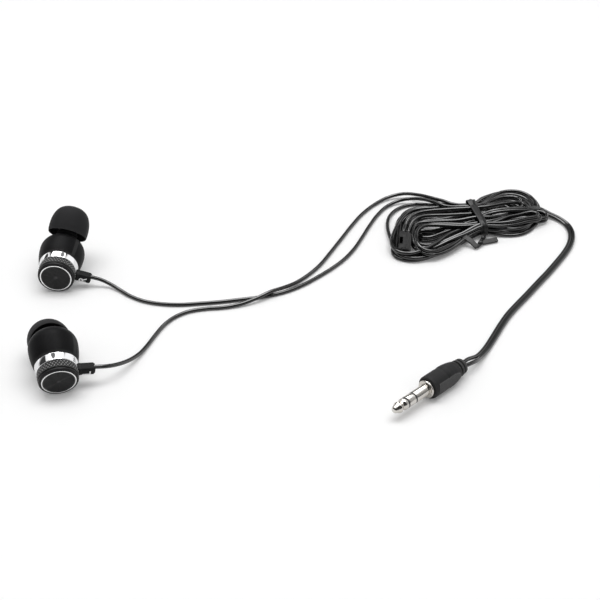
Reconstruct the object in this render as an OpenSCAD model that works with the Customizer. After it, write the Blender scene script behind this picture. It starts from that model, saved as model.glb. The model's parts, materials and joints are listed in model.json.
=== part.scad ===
// Wired in-ear earphones with angled nozzles, a tied-up cord and a 3.5 mm stereo plug.
// The set lies on a flat surface at z = 0, and the origin is under the middle of the two earpieces.
// Each earpiece is drawn about its own axis: z runs from the rear face to the nozzle, x to the boot.

/* [Earpiece housing] */
// Radius of the knurled rear cap
cap_r = 5.95; // [5.8:0.05:6.1]
// Axial length of the rear cap
cap_l = 3.7; // [3.5:0.1:3.8]
// Rear radius of the chrome band
band_r1 = 6.05; // [5.95:0.05:6.15]
// Front radius of the chrome band
band_r2 = 6.35; // [6.25:0.05:6.45]
// Axial length of the chrome band
band_l = 2.5; // [2.4:0.1:2.6]
// Largest radius of the front housing
housing_r = 7.3; // [7.1:0.1:7.5]
// Distance from the rear face to the widest part of the housing
housing_wide_z = 13.4; // [13.2:0.1:13.8]
// Radius of the rounded front shoulder
shoulder_r = 4.8; // [4.6:0.1:5]
// Knurl teeth around the rear cap
knurl_count = 60; // [48:2:72]
// Depth of the knurl
knurl_depth = 0.14; // [0.1:0.01:0.18]

/* [Nozzle and ear tip] */
// Angle between the nozzle and the housing axis, in degrees
nozzle_angle = 35; // [32:1:38]
// Where the nozzle axis crosses the housing axis, from the rear face
nozzle_pivot_z = 12.8; // [12.6:0.1:13]
// Radius of the nozzle neck
nozzle_r = 2.45; // [2.3:0.05:2.5]
// Radius of the bead that the ear tip grips
bead_r = 2.65; // [2.6:0.05:2.7]
// Radius of the sound bore
bore_r = 1.75; // [1.5:0.05:1.8]
// Nozzle length from the crossing of the axes
nozzle_l = 13; // [12.8:0.1:13.2]
// Largest radius of the ear tip
tip_r = 6.45; // [6.2:0.05:6.7]
// Distance from the crossing of the axes to the open rim of the ear tip
tip_start = 6.5; // [6.4:0.1:7]
// Length of the ear tip along the nozzle
tip_l = 9.3; // [9:0.1:9.6]

/* [Driver] */
// Outer radius of the driver
driver_r = 5.4; // [5.3:0.05:5.4]
// Height of the driver's back above the rear face
driver_z = 7; // [7:0.05:7.1]
// Outer radius of the steel yoke cup
yoke_r = 3.7; // [3.6:0.05:3.8]
// Radius of the magnet
magnet_r = 2.6; // [2.4:0.05:2.6]
// Mean radius of the voice coil
coil_r = 2.98; // [2.96:0.01:3]
// Radius of the moving diaphragm
diaphragm_r = 4.6; // [4.4:0.05:4.7]

/* [Boot and cords] */
// Side of the square section of the boot
boot_w = 2.9; // [2.7:0.1:3.1]
// Reach of the boot from the housing axis
boot_reach = 10.9; // [10.6:0.1:11.2]
// Distance of the boot's middle from the rear face
boot_z = 4.3; // [4.2:0.05:4.4]
// Height of the lead above the middle of the boot
lead_offset = 0.6; // [0:0.1:0.6]
// Diameter of one insulated lead
lead_d = 1.25; // [1.2:0.01:1.3]
// Height of the tied hank
hank_h = 5.6; // [5.2:0.1:6]

/* [Plug] */
// Radius of the plug pin, half of the standard 3.5 mm
pin_r = 1.75; // [1.75:0.01:1.75]
// Length of the plug pin in front of the flange
pin_l = 14; // [14:0.1:14]
// Radius of the plug's moulded grip
grip_r = 3.5; // [3.4:0.05:3.6]
// Length of the plug's moulded grip
grip_l = 16.8; // [16.4:0.1:17.2]

/* [Hidden] */
SIDES = ["right", "left"];
EAR_PARTS = ["end_disc", "bezel_ring", "rear_cap", "chrome_band", "front_housing", "nozzle_mesh",
    "ear_tip", "cord_boot", "terminal_board", "driver_yoke", "driver_magnet", "pole_plate",
    "driver_frame", "voice_coil", "diaphragm", "driver_cover"];
CORD_PARTS = ["right_lead", "left_lead", "y_splitter", "cord_hank", "twist_tie", "main_cord",
    "plug_body", "plug_sleeve", "ring_insulator", "plug_ring", "tip_insulator", "plug_tip"];

$fn = 48;
eps = 0.01;

// Where each earpiece lies: the middle of its rear face, then turn, pitch and roll in degrees.
ear_pos = [[-6.1, 15.4, 5.79], [3.2, -39.8, 5.4]];
ear_turn = [-1.8, 14.8];
ear_pitch = [7.3, 17.1];
ear_roll = [18, 8];

// Axial stations of the housing
band_z = cap_l;
front_z = cap_l + band_l;
flare_z = housing_wide_z - front_z;
flare_grow = housing_r - band_r2;
flare_arc_r = (flare_z * flare_z + flare_grow * flare_grow) / (2 * flare_grow);
front_face_z = housing_wide_z + shoulder_r;
wall = 0.9;
spigot_r = 5.4;
spigot_wall = 0.5;
fit = 0.03;

// Axial stations of the driver
yoke_floor = 0.6;
yoke_h = 2.4;
yoke_wall = 0.45;
magnet_h = 1.3;
pole_h = 0.5;
pole_r = magnet_r + 0.1;
frame_z = driver_z + 0.9;
frame_h = 2.8;
coil_z = driver_z + 1.6;
coil_h = 1.65;
coil_t = 0.2;
diaphragm_z = coil_z + coil_h;
diaphragm_t = 0.12;
dome_h = 0.5;
cover_z = frame_z + frame_h;
cover_h = 0.7;
cover_t = 0.2;
bay_end_z = cover_z + cover_h;

// Places a child, drawn along +z, on one earpiece.
module on_ear(side)
    translate(ear_pos[side])
        rotate([0, 0, ear_turn[side]])
            rotate([ear_pitch[side] - 90, 0, 0])
                rotate([0, 0, ear_roll[side]])
                    children();

// The two nozzles lean to opposite sides, so that one earpiece mirrors the other.
function lean(side) = side == 0 ? -1 : 1;

module on_nozzle(side)
    translate([0, 0, nozzle_pivot_z])
        rotate([-lean(side) * nozzle_angle, 0, 0])
            children();

module ring(r_out, r_in, z, h)
    translate([0, 0, z])
        difference() {
            cylinder(r = r_out, h = h);
            translate([0, 0, -eps])
                cylinder(r = r_in, h = h + 2 * eps);
        }

// Points of an arc, for the profiles that are revolved.
function arc(cx, cy, r, a0, a1, steps) =
    [for (i = [0:steps]) let (a = a0 + (a1 - a0) * i / steps) [cx + r * cos(a), cy + r * sin(a)]];

module rounded_bar(w, h, length, r)
    rotate([0, 90, 0])
        linear_extrude(height = length)
            union() {
                square([w - 2 * r, h], center = true);
                square([w, h - 2 * r], center = true);
                for (x = [-1, 1]) for (y = [-1, 1])
                    translate([x * (w / 2 - r), y * (h / 2 - r)])
                        circle(r = r, $fn = 24);
            }

// ---------- Earpiece shell ----------

disc_r = 4.68;
disc_t = 0.5;
bezel_r = 5.05;

module end_disc()
    color("#3a3a3c")
        translate([0, 0, 0.15])
            union() {
                cylinder(r = disc_r, h = disc_t);
                translate([0, 0, disc_t - eps])
                    cylinder(r = disc_r - 0.6, h = 0.3);
            }

module bezel_ring()
    color("silver")
        rotate_extrude($fn = 96)
            polygon([[disc_r + fit, 0.65], [disc_r + fit, 0.1], [disc_r + 0.15, 0],
                [bezel_r - 0.1, 0], [bezel_r, 0.12], [bezel_r, 0.65]]);

module boot_port(clear)
    translate([spigot_r - 1.2, 0, boot_z])
        rounded_bar(boot_w + 2 * clear, boot_w + 2 * clear, 4, 0.6);

module knurl_layer(phase)
    rotate([0, 0, phase * 180 / knurl_count])
        polygon([for (i = [0:knurl_count - 1]) for (k = [0, 1])
            let (a = (i + k / 2) * 360 / knurl_count, r = cap_r - k * knurl_depth)
            [r * cos(a), r * sin(a)]]);

knurl_z = 1.3;
knurl_rows = 3;
knurl_row_h = (cap_l - 0.05 - knurl_z) / knurl_rows;
knurl_gap = 0.1;
knurl_root_r = cap_r - knurl_depth * 0.75;

module rear_cap()
    color("#2b2b2e")
        difference() {
            union() {
                rotate_extrude($fn = 96)
                    polygon([[0, 0.45], [bezel_r + fit, 0.12], [5.45, 0.12], [5.78, 0.45],
                        [5.85, 0.85], [5.6, 0.95], [5.6, 1.12], [knurl_root_r, 1.2],
                        [knurl_root_r, cap_l], [spigot_r, cap_l], [spigot_r, front_z + 0.7],
                        [spigot_r - spigot_wall, front_z + 0.7], [spigot_r - spigot_wall, 1.2],
                        [0, 1.2]]);
                for (row = [0:knurl_rows - 1])
                    translate([0, 0, knurl_z + row * knurl_row_h])
                        linear_extrude(height = knurl_row_h - knurl_gap)
                            knurl_layer(row % 2);
            }
            translate([0, 0, 0.65])
                cylinder(r = disc_r - 0.58, h = 1);
            translate([0, 0, -1])
                cylinder(r = bezel_r + fit, h = 1.65);
            translate([0, 0, 1.2])
                cylinder(r = spigot_r - spigot_wall, h = 8);
            boot_port(fit);
        }

module chrome_band()
    color("gainsboro")
        difference() {
            rotate_extrude($fn = 96)
                polygon([[spigot_r + fit, band_z + fit], [band_r1 - 0.12, band_z + fit],
                    [band_r1, band_z + 0.15], [band_r2 - 0.02, front_z - 0.18],
                    [band_r2 - 0.14, front_z - fit], [spigot_r + fit, front_z - fit]]);
            boot_port(fit);
        }

module housing_outline()
    polygon(concat([[0, front_z], [band_r2, front_z]],
        arc(housing_r - flare_arc_r, housing_wide_z, flare_arc_r,
            -asin(flare_z / flare_arc_r) + 1, 0, 8),
        arc(housing_r - shoulder_r, housing_wide_z, shoulder_r, 7.5, 90, 11),
        [[0, front_face_z]]));

// The bay takes the driver, and the round chamber in front of it leads the sound to the nozzle.
module housing_cavity()
    polygon(concat([[0, front_z - 1], [driver_r + 0.06, front_z - 1], [driver_r + 0.06, bay_end_z],
        [diaphragm_r + 0.2, bay_end_z], [diaphragm_r + 0.2, bay_end_z + 0.5]],
        arc(housing_r - shoulder_r, housing_wide_z, shoulder_r - wall, 0, 90, 8),
        [[0, front_face_z - wall]]));

module nozzle_outline()
    polygon([[0, 3], [3.4, 3], [3.4, 6.9], [3.1, 7.3], [nozzle_r, 7.4], [nozzle_r, nozzle_l - 1.5],
        [bead_r, nozzle_l - 1.2], [bead_r, nozzle_l - 0.4], [nozzle_r - 0.1, nozzle_l], [0, nozzle_l]]);

module front_housing(side)
    color("#1b1b1d")
        difference() {
            union() {
                rotate_extrude($fn = 96)
                    housing_outline();
                on_nozzle(side)
                    rotate_extrude($fn = 64)
                        nozzle_outline();
            }
            rotate_extrude($fn = 96)
                housing_cavity();
            on_nozzle(side)
                translate([0, 0, 1])
                    cylinder(r = bore_r, h = nozzle_l);
            on_nozzle(side)
                translate([0, 0, nozzle_l - 0.4])
                    cylinder(r = 2.1, h = 1);
        }

mesh_pitch = 0.68;
mesh_hole_r = 0.2;

module nozzle_mesh(side)
    color("#6d6f73")
        on_nozzle(side)
            translate([0, 0, nozzle_l - 0.4])
                difference() {
                    cylinder(r = 2.1 - fit, h = 0.2);
                    for (row = [-2:2]) for (i = [-2:2])
                        let (x = (i + abs(row % 2) / 2) * mesh_pitch, y = row * mesh_pitch * 0.866)
                            if (norm([x, y]) < bore_r - mesh_hole_r)
                                translate([x, y, -0.2])
                                    cylinder(r = mesh_hole_r, h = 0.6, $fn = 16);
                }

core_bore_r = bead_r + 0.05;
core_r = 3.35;
core_start = 8;

// A silicone dome: a thin open skirt outside and a thicker core that grips the nozzle.
module ear_tip(side)
    color("#303033")
        on_nozzle(side)
            rotate_extrude($fn = 64)
                polygon([[tip_r - 0.45, tip_start], [tip_r - 0.2, tip_start],
                    [tip_r - 0.05, tip_start + 0.6], [tip_r, tip_start + 1.5],
                    [tip_r - 0.05, tip_start + 3], [tip_r - 0.33, tip_start + 4.5],
                    [tip_r - 0.85, tip_start + 6], [tip_r - 1.65, tip_start + 7.4],
                    [tip_r - 2.45, tip_start + 8.3], [tip_r - 3.25, tip_start + 8.95],
                    [tip_r - 3.75, tip_start + tip_l - 0.1], [tip_r - 4.05, tip_start + tip_l],
                    [2, tip_start + tip_l - 0.3], [2, nozzle_l + 0.1], [core_bore_r, nozzle_l + 0.1],
                    [core_bore_r, core_start], [core_r, core_start], [core_r + 0.1, 12.3],
                    [4.1, 12.9], [4.8, 12.6], [5.3, 11.6], [5.65, 10.3], [5.8, 8.9],
                    [tip_r - 0.55, 7.6]]);

module cord_boot()
    color("#19191b")
        difference() {
            union() {
                translate([spigot_r - 0.9, 0, boot_z])
                    rounded_bar(boot_w - 0.1, boot_w - 0.1, boot_reach - spigot_r + 0.6, 0.55);
                translate([boot_reach - 0.31, 0, boot_z])
                    rounded_bar(boot_w - 0.6, boot_w - 0.6, 0.31, 0.5);
                translate([band_r2 - 0.05, 0, boot_z])
                    rounded_bar(boot_w + 0.3, boot_w + 0.3, 0.45, 0.7);
            }
            translate([0, -lead_offset, boot_z])
                rotate([0, 90, 0])
                    cylinder(r = lead_d / 2 + 0.02, h = boot_reach - 1);
            cylinder(r = spigot_r - spigot_wall - 0.35, h = 10);
        }

// ---------- Driver ----------

module terminal_board()
    color("#2f6b3d")
        difference() {
            translate([0, 0, driver_z - 0.45])
                cylinder(r = 3.1, h = 0.4);
            translate([-4, 1.2, driver_z - 0.6])
                cube([8, 4, 1]);
            for (x = [-1, 1])
                translate([x * 1.6, -1, driver_z - 0.6])
                    cylinder(r = 0.35, h = 1);
        }

module driver_yoke()
    color("#9a9ca0")
        difference() {
            translate([0, 0, driver_z])
                cylinder(r = yoke_r, h = yoke_h);
            translate([0, 0, driver_z + yoke_floor])
                cylinder(r = yoke_r - yoke_wall, h = yoke_h);
            translate([0, 0, driver_z - 1])
                cylinder(r = 0.5, h = 4);
        }

module driver_magnet()
    color("#55575b")
        ring(magnet_r, 0.5, driver_z + yoke_floor, magnet_h);

module pole_plate()
    color("#b4b6ba")
        ring(pole_r, 0.5, driver_z + yoke_floor + magnet_h, pole_h);

module driver_frame()
    color("#2a2a2c")
        difference() {
            union() {
                ring(driver_r, yoke_r + 0.01, frame_z, 0.6);
                ring(driver_r, diaphragm_r + 0.2, frame_z, frame_h);
            }
            for (i = [0:5])
                rotate([0, 0, i * 60])
                    translate([4.25, 0, frame_z - 1])
                        cylinder(r = 0.3, h = 3);
        }

module voice_coil()
    color("#b8703a")
        ring(coil_r + coil_t / 2, coil_r - coil_t / 2, coil_z, coil_h);

// A thin film with a dome over the coil and a corrugated outer cone.
module diaphragm()
    color("#c9c2a8")
        rotate_extrude($fn = 64)
            polygon(concat(
                [for (i = [0:6]) let (x = i / 6)
                    [coil_r * x, diaphragm_z + dome_h * (1 - x * x)]],
                [[3.5, diaphragm_z + 0.25], [4.0, diaphragm_z], [diaphragm_r, diaphragm_z + 0.15],
                    [diaphragm_r, diaphragm_z + 0.15 + diaphragm_t],
                    [4.0, diaphragm_z + diaphragm_t], [3.5, diaphragm_z + 0.25 + diaphragm_t]],
                [for (i = [6:-1:0]) let (x = i / 6)
                    [coil_r * x, diaphragm_z + diaphragm_t + dome_h * (1 - x * x)]]));

module driver_cover()
    color("#c8cacd")
        difference() {
            union() {
                ring(driver_r, diaphragm_r + 0.25, cover_z, cover_h);
                translate([0, 0, cover_z + cover_h - cover_t])
                    cylinder(r = driver_r - eps, h = cover_t);
            }
            for (i = [0:5])
                rotate([0, 0, i * 60])
                    translate([2.9, 0, cover_z])
                        cylinder(r = 0.55, h = 2);
            translate([0, 0, cover_z])
                cylinder(r = 0.7, h = 2);
        }

// ---------- Plug ----------

// Middle of the plug's flange face, its turn from +x in degrees and its pitch
plug_pos = [107.7, -40.9, 3.64];
plug_turn = -134.2;
plug_pitch = 0.5;
ring_z = 6;
tip_z = 9.2;
insulator_t = 0.7;
stem_z = -5.5;

module on_plug()
    translate(plug_pos)
        rotate([0, 0, plug_turn])
            rotate([0, 90 - plug_pitch, 0])
                children();

module plug_sleeve()
    color("#c9c4bb")
        on_plug()
            difference() {
                union() {
                    cylinder(r = pin_r, h = ring_z - insulator_t);
                    rotate_extrude($fn = 64)
                        polygon([[0, -0.95], [2.7, -0.95], [2.7, -0.2], [2.5, 0], [0, 0]]);
                    translate([0, 0, stem_z])
                        cylinder(r = 2, h = 5);
                }
                translate([0, 0, stem_z - 1])
                    cylinder(r = 1.27, h = 20);
            }

module ring_insulator()
    color("#141414")
        on_plug()
            union() {
                ring(pin_r, 1.06, ring_z - insulator_t, insulator_t);
                ring(1.26, 1.06, stem_z - 0.8, ring_z - stem_z + 0.8);
            }

module plug_ring()
    color("#c9c4bb")
        on_plug()
            union() {
                ring(pin_r, 0.81, ring_z, tip_z - insulator_t - ring_z);
                ring(1.05, 0.81, stem_z - 1.6, ring_z - stem_z + 2);
            }

module tip_insulator()
    color("#141414")
        on_plug()
            union() {
                ring(pin_r, 0.56, tip_z - insulator_t, insulator_t);
                ring(0.8, 0.56, stem_z - 2.2, tip_z - stem_z + 2.2);
            }

module plug_tip()
    color("#c9c4bb")
        on_plug()
            rotate_extrude($fn = 64)
                polygon([[0, stem_z - 3], [0.55, stem_z - 3], [0.55, tip_z], [pin_r, tip_z],
                    [pin_r, tip_z + 0.8], [1.3, tip_z + 1.5], [1.3, tip_z + 1.8],
                    [1.68, tip_z + 2.5], [1.68, tip_z + 2.8], [0.95, pin_l - 0.35],
                    [0.6, pin_l - 0.08], [0, pin_l]]);

grip_waist = 0.1;
rear_r = 2.55;
rib_count = 7;
rib_pitch = 0.55;
taper = 0.17;

module plug_body()
    color("#232325")
        on_plug()
            difference() {
                union() {
                    rotate_extrude($fn = 96)
                        polygon([[0, -0.9], [grip_r - 0.45, -0.9], [grip_r - 0.1, -1.1],
                            [grip_r, -1.5], [grip_r, -6.2], [grip_r - grip_waist, -7.2],
                            [grip_r + 0.05, -8.3], [grip_r, -9.6], [grip_r - 0.25, -11.4],
                            [grip_r - 0.6, -13], [rear_r + 0.1, -13.7], [rear_r - 0.3, -13.75],
                            [rear_r - 0.3, -14.2], [rear_r + 0.02, -14.25], [rear_r - 0.05, -15.1],
                            [rear_r - 0.38, -15.15], [rear_r - 0.38, -15.6], [rear_r - 0.08, -15.65],
                            [rear_r - 0.2, -16.4], [rear_r - 0.55, -grip_l], [0, -grip_l]]);
                    for (i = [0:rib_count - 1]) for (s = [-1, 1])
                        translate([-1.1, s * (grip_r - 0.5 - i * rib_pitch * taper) - 0.6,
                            -9.3 - rib_pitch * i])
                            cube([2.2, 1.2, 0.28]);
                }
                translate([0, 0, -0.95])
                    cylinder(r = 2.72, h = 1);
                translate([0, 0, stem_z - 0.1])
                    cylinder(r = 2.01, h = 5);
                translate([0, 0, stem_z - 3.1])
                    cylinder(r = 1.28, h = 5);
            }

// ---------- Cords ----------

// Routes of the cords over the surface, each from its exit to where it enters the hank or the plug
right_route = [[4.59, 19.69, 3.57], [7.4, 19.7, 2.65], [10.7, 18.7, 1.5], [14, 16.3, 0.8],
    [17.7, 12.9, 0.63], [22.1, 10.1, 0.63], [27.5, 8.4, 0.63], [33.9, 7.9, 0.63], [40.2, 8.6, 0.63],
    [46.5, 9.5, 0.63], [52.8, 10.8, 0.63], [58.5, 12.1, 0.63], [64, 13.9, 0.63], [68.6, 16.3, 0.63],
    [73, 19.7, 0.63], [77.7, 24.4, 0.63], [82.4, 29.7, 0.63], [86.8, 35.8, 0.63], [90.3, 42.5, 0.63],
    [93.2, 50, 0.63], [96.1, 58, 0.63], [99.4, 66, 0.63], [103.2, 72, 0.8], [107.7, 74.9, 1.4],
    [112.3, 74.5, 2.4], [116.4, 71.8, 3.4], [120.1, 68.4, 4.1], [123.2, 65.4, 4.2]];
left_route = [[12.6, -32.79, 5.78], [15.4, -31.9, 5.3], [18.3, -29.2, 4], [21.3, -24.7, 2.3],
    [23.9, -19.5, 1.1], [25.9, -14.1, 0.65], [27.8, -8.6, 0.63], [30, -3.3, 0.63], [32.9, 0.9, 0.63],
    [36.8, 3.9, 0.63], [42, 5.5, 0.63], [48, 6.3, 0.65], [53.5, 7.9, 0.95], [58.3, 10.3, 1.6],
    [62.5, 13.2, 2.1], [66.6, 16.6, 1.5], [70.4, 20.4, 0.85], [74.4, 25.4, 0.63], [78.4, 31.7, 0.63],
    [82.3, 40.3, 0.63], [86.2, 49.4, 0.63], [89.9, 58.1, 0.63], [93.9, 66.4, 0.63], [98.9, 73.6, 0.7],
    [104.2, 78, 1.2], [109.5, 79, 1.9], [114.6, 76.2, 2.9], [118.6, 72.5, 3.8], [122.6, 68.9, 4.5],
    [126.6, 65.4, 4.6]];
main_route = [[156.6, 66.3, 1.7], [159.6, 65, 1.3], [162.5, 62.6, 0.95], [164.7, 59, 0.7],
    [165.5, 54.6, 0.65], [165, 49.8, 0.65], [163.4, 44.6, 0.65], [161, 39.6, 0.65],
    [157.7, 33.9, 0.65], [153.6, 27.2, 0.65], [149.4, 20.8, 0.65], [145.2, 14.3, 0.65], [141, 8, 0.65],
    [137.2, 2, 0.65], [134, -4.2, 0.65], [130.9, -10.8, 0.65], [127.9, -16.9, 0.8],
    [124.9, -22.2, 1.7], [122, -26.2, 3.1], [119.41, -28.86, 3.49]];

function unit(v) = v / norm(v);
function heading(path, i) = unit(path[min(i + 1, len(path) - 1)] - path[max(i - 1, 0)]);
function across(path, i) = unit(cross(heading(path, i), [0, 0, 1]));
function ring_points(path, i, half_w, half_h) =
    [for (k = [0:7]) path[i] + across(path, i) * half_w * cos(k * 45 + 22.5)
        + cross(across(path, i), heading(path, i)) * half_h * sin(k * 45 + 22.5)];

// Sweeps an eight-sided section along a path and closes both ends.
module cord_tube(path, half_w, half_h)
    polyhedron(
        points = [for (i = [0:len(path) - 1]) each ring_points(path, i, half_w, half_h)],
        faces = concat([[for (k = [0:7]) k]],
            [for (i = [0:len(path) - 2]) for (k = [0:7])
                let (a = 8 * i + k, b = 8 * i + (k + 1) % 8) [a, a + 8, b + 8, b]],
            [[for (k = [7:-1:0]) 8 * (len(path) - 1) + k]]),
        convexity = 8);

module right_lead()
    color("#111112")
        cord_tube(right_route, lead_d / 2, lead_d / 2);

module left_lead()
    color("#111112")
        cord_tube(left_route, lead_d / 2, lead_d / 2);

module main_cord()
    color("#111112")
        cord_tube(main_route, lead_d, lead_d / 2);

// Outline of the hank, fanned out at both ends, and of the thicker waist in its middle
hank_outline = [[101.9, 56.1], [101.5, 50.1], [102.9, 43.1], [105.9, 38.1], [110.4, 35.6], [115.5, 36.8],
    [119.4, 38.9], [123.6, 41.7], [128.2, 45.6], [133, 49], [140.9, 51.6], [148.2, 54.7], [152.4, 57.8],
    [156.6, 61], [158, 63.6], [158, 66.5], [156.8, 69.8], [155, 74.6], [151.3, 79], [147, 79.6],
    [143.2, 78.2], [139.6, 75], [135.6, 70.6], [131.4, 67.7], [124.9, 67.2], [117.5, 67.8],
    [111.5, 67.6], [106.3, 64.8], [103.2, 61]];
waist_outline = [[111.5, 52], [113.5, 46], [120, 44.6], [127, 47.4], [133, 50.4], [139, 52.8], [143.5, 57],
    [144.5, 63], [143, 69], [139.5, 72], [135.6, 69.6], [131.4, 67.1], [124.9, 66.2], [118, 66],
    [113, 60]];
end_h = 3.9;

tie_pos = [133.4, 59.1];
tie_turn = 11;
tie_w = 2.4;
tie_t = 0.5;
tie_inner_l = 18;

// Cuts a slab square to the hank where the tie goes round it.
module tie_slab(length, w, h, z)
    translate([tie_pos[0], tie_pos[1], z])
        rotate([0, 0, tie_turn])
            translate([-w / 2, -length / 2, 0])
                cube([w, length, h]);

// The closed band of the tie, grown by a clearance to cut the groove that it lies in
module tie_band(clear)
    difference() {
        tie_slab(tie_inner_l + 2 * (tie_t + clear), tie_w + 2 * clear, hank_h + tie_t, 0);
        tie_slab(tie_inner_l - 2 * clear, tie_w + 1, hank_h - tie_t - 2 * clear, tie_t + clear);
    }

splitter_pos = [107.8, 43.2, 2.45];
splitter_turn = 84;
splitter_tilt = 10;
splitter_l = 9.2;
splitter_w = 4.2;
splitter_h = 2.6;

module on_splitter()
    translate(splitter_pos)
        rotate([0, -splitter_tilt, splitter_turn])
            children();

module y_splitter()
    color("#1d1d1f")
        on_splitter()
            difference() {
                translate([-splitter_l / 2, 0, 0])
                    rounded_bar(splitter_h, splitter_w, splitter_l, 0.7);
                translate([0, 0.9, splitter_h / 2 - 0.5])
                    cylinder(r = 0.6, h = 2);
                translate([0, -1.0, splitter_h / 2 - 0.25])
                    translate([-splitter_l / 2 + 1, -0.6, 0])
                        cube([splitter_l - 2, 0.3, 1]);
            }

module cord_hank()
    color("#161617")
        difference() {
            union() {
                linear_extrude(height = end_h)
                    polygon(hank_outline);
                linear_extrude(height = hank_h)
                    polygon(waist_outline);
            }
            on_splitter()
                translate([-splitter_l / 2 - 0.05, -splitter_w / 2 - 0.05, -splitter_h / 2 - 0.05])
                    cube([splitter_l + 0.1, splitter_w + 0.1, hank_h]);
            tie_band(0.05);
        }

// Twisted neck and the two bent ends of the tie: start, heading in degrees and length
tie_ends = [[[135, 49.6], -111.6, 5.7], [[133.3, 44.1], 141.8, 7.4], [[132.5, 44.5], 21.3, 7]];

module twist_tie()
    color("#1a1a1c")
        union() {
            tie_band(0);
            for (e = tie_ends)
                translate([e[0][0], e[0][1], 1.0])
                    rotate([0, 0, e[1]])
                        rounded_bar(1.5, 1.7, e[2], 0.5);
        }

// ---------- All nodes ----------

module ear_nodes(side)
    let (name = str(SIDES[side], "_"))
        on_ear(side) {
            end_disc();
            bezel_ring();
            rear_cap();
            chrome_band();
            front_housing(side);
            nozzle_mesh(side);
            ear_tip(side);
            cord_boot();
            terminal_board();
            driver_yoke();
            driver_magnet();
            pole_plate();
            driver_frame();
            voice_coil();
            diaphragm();
            driver_cover();
        }

ear_nodes(0);
ear_nodes(1);
right_lead();
left_lead();
y_splitter();
cord_hank();
twist_tie();
main_cord();
plug_body();
plug_sleeve();
ring_insulator();
plug_ring();
tip_insulator();
plug_tip();
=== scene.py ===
"""Wired earphones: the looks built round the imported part.

Lengths are millimetres in the row frame, and each mesh is scaled to metres as it is made. Names that
end in _M are metres."""

import json
import math

import bmesh
import bpy
import numpy as np
from mathutils import Matrix, Vector


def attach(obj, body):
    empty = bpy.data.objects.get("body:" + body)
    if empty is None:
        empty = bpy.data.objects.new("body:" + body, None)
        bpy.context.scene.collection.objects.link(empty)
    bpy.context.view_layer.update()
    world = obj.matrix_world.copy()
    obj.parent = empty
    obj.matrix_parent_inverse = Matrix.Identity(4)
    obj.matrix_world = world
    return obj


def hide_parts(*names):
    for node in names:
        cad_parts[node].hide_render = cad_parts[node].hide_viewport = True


MM = 0.001
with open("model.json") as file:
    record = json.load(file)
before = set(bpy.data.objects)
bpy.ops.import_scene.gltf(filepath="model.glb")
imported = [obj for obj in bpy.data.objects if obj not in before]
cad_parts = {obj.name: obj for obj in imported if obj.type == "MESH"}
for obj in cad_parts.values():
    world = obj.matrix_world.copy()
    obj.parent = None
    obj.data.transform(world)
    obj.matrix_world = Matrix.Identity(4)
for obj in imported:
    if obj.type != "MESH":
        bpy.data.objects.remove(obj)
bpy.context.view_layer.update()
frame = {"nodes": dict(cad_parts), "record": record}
nodes = frame["nodes"]
scene = bpy.context.scene

# ---------- Camera ----------

AIM = (71.93, 11.6, 0.0)
EYE = (71.93, -349.0, 234.2)
LENS = 80.8
CLIP_START = 10.0


def place_camera():
    camera = bpy.data.objects.new("camera", bpy.data.cameras.new("camera"))
    camera.data.lens = LENS
    camera.data.clip_start = CLIP_START * MM
    camera.location = Vector(EYE) * MM
    sight = Vector(AIM) - Vector(EYE)
    camera.rotation_euler = sight.to_track_quat("-Z", "Y").to_euler()
    scene.collection.objects.link(camera)
    scene.camera = camera


place_camera()

# ---------- Places of the pieces ----------

RIGHT, LEFT = 0, 1
SIDES = ("right", "left")
# Each earpiece's frame has its origin in the middle of the rear face and +Z towards the tip.
EAR_POS = ((-6.1, 15.4, 5.79), (3.2, -39.8, 5.4))
EAR_TURN = (-1.8, 14.8)
EAR_PITCH = (7.3, 17.1)
EAR_ROLL = (18.0, 8.0)
NOZZLE_PIVOT = 12.8
NOZZLE_LEAN = 35.0
# How much further on each tip is pushed than its stop in the CAD part.
TIP_PUSH = (0.0, 1.4)


def shift(x, y, z):
    return Matrix.Translation(Vector((x, y, z)))


def rotate(axis, degrees):
    return Matrix.Rotation(math.radians(degrees), 4, axis)


def ear_place(side):
    return (shift(*EAR_POS[side]) @ rotate("Z", EAR_TURN[side])
            @ rotate("X", EAR_PITCH[side] - 90) @ rotate("Z", EAR_ROLL[side]))


def nozzle_place(side):
    lean = -1 if side == RIGHT else 1
    return ear_place(side) @ shift(0, 0, NOZZLE_PIVOT) @ rotate("X", -lean * NOZZLE_LEAN)


PLUG_PLACE = shift(107.7, -40.9, 3.64) @ rotate("Z", -134.2) @ rotate("Y", 89.5)
SPLITTER_PLACE = shift(107.4, 43.2, 2.45) @ rotate("Z", 84) @ rotate("Y", -10)


def moved(place, points):
    spin = np.array(place.to_3x3())
    return np.asarray(points, float) @ spin.T + np.array(place.translation)


# ---------- Lines and meshes ----------

SPAN_CUTS = 24
# Points of a mesh that are nearer than this become one.
MERGE_GAP_M = 2e-7
# The point attribute that holds how much painted highlight each point takes.
PAINTED_HIGHLIGHT = "painted_highlight"


def even_line(points, step):
    """A smooth line through the points, cut to even steps."""
    p = np.array(points, float)
    p = np.vstack([2 * p[0] - p[1], p, 2 * p[-1] - p[-2]])
    t = np.linspace(0, 1, SPAN_CUTS, endpoint=False)[:, None]
    spans = []
    for i in range(1, len(p) - 2):
        before, a, b, after = p[i - 1:i + 3]
        chord = np.linalg.norm(b - a)
        leave = ((a - before) * chord / np.linalg.norm(a - before) + b - a) / 2
        enter = ((after - b) * chord / np.linalg.norm(after - b) + b - a) / 2
        spans.append((2 * t**3 - 3 * t**2 + 1) * a + (t**3 - 2 * t**2 + t) * leave
                     + (-2 * t**3 + 3 * t**2) * b + (t**3 - t**2) * enter)
    return resampled(np.vstack(spans + [p[-2:-1]]), step)


def resampled(line, step):
    """The line cut to even steps without smoothing it."""
    run = along(line)
    cuts = np.linspace(0, run[-1], max(2, int(round(run[-1] / step))) + 1)
    return np.stack([np.interp(cuts, run, line[:, k]) for k in range(line.shape[1])], axis=1)


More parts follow.
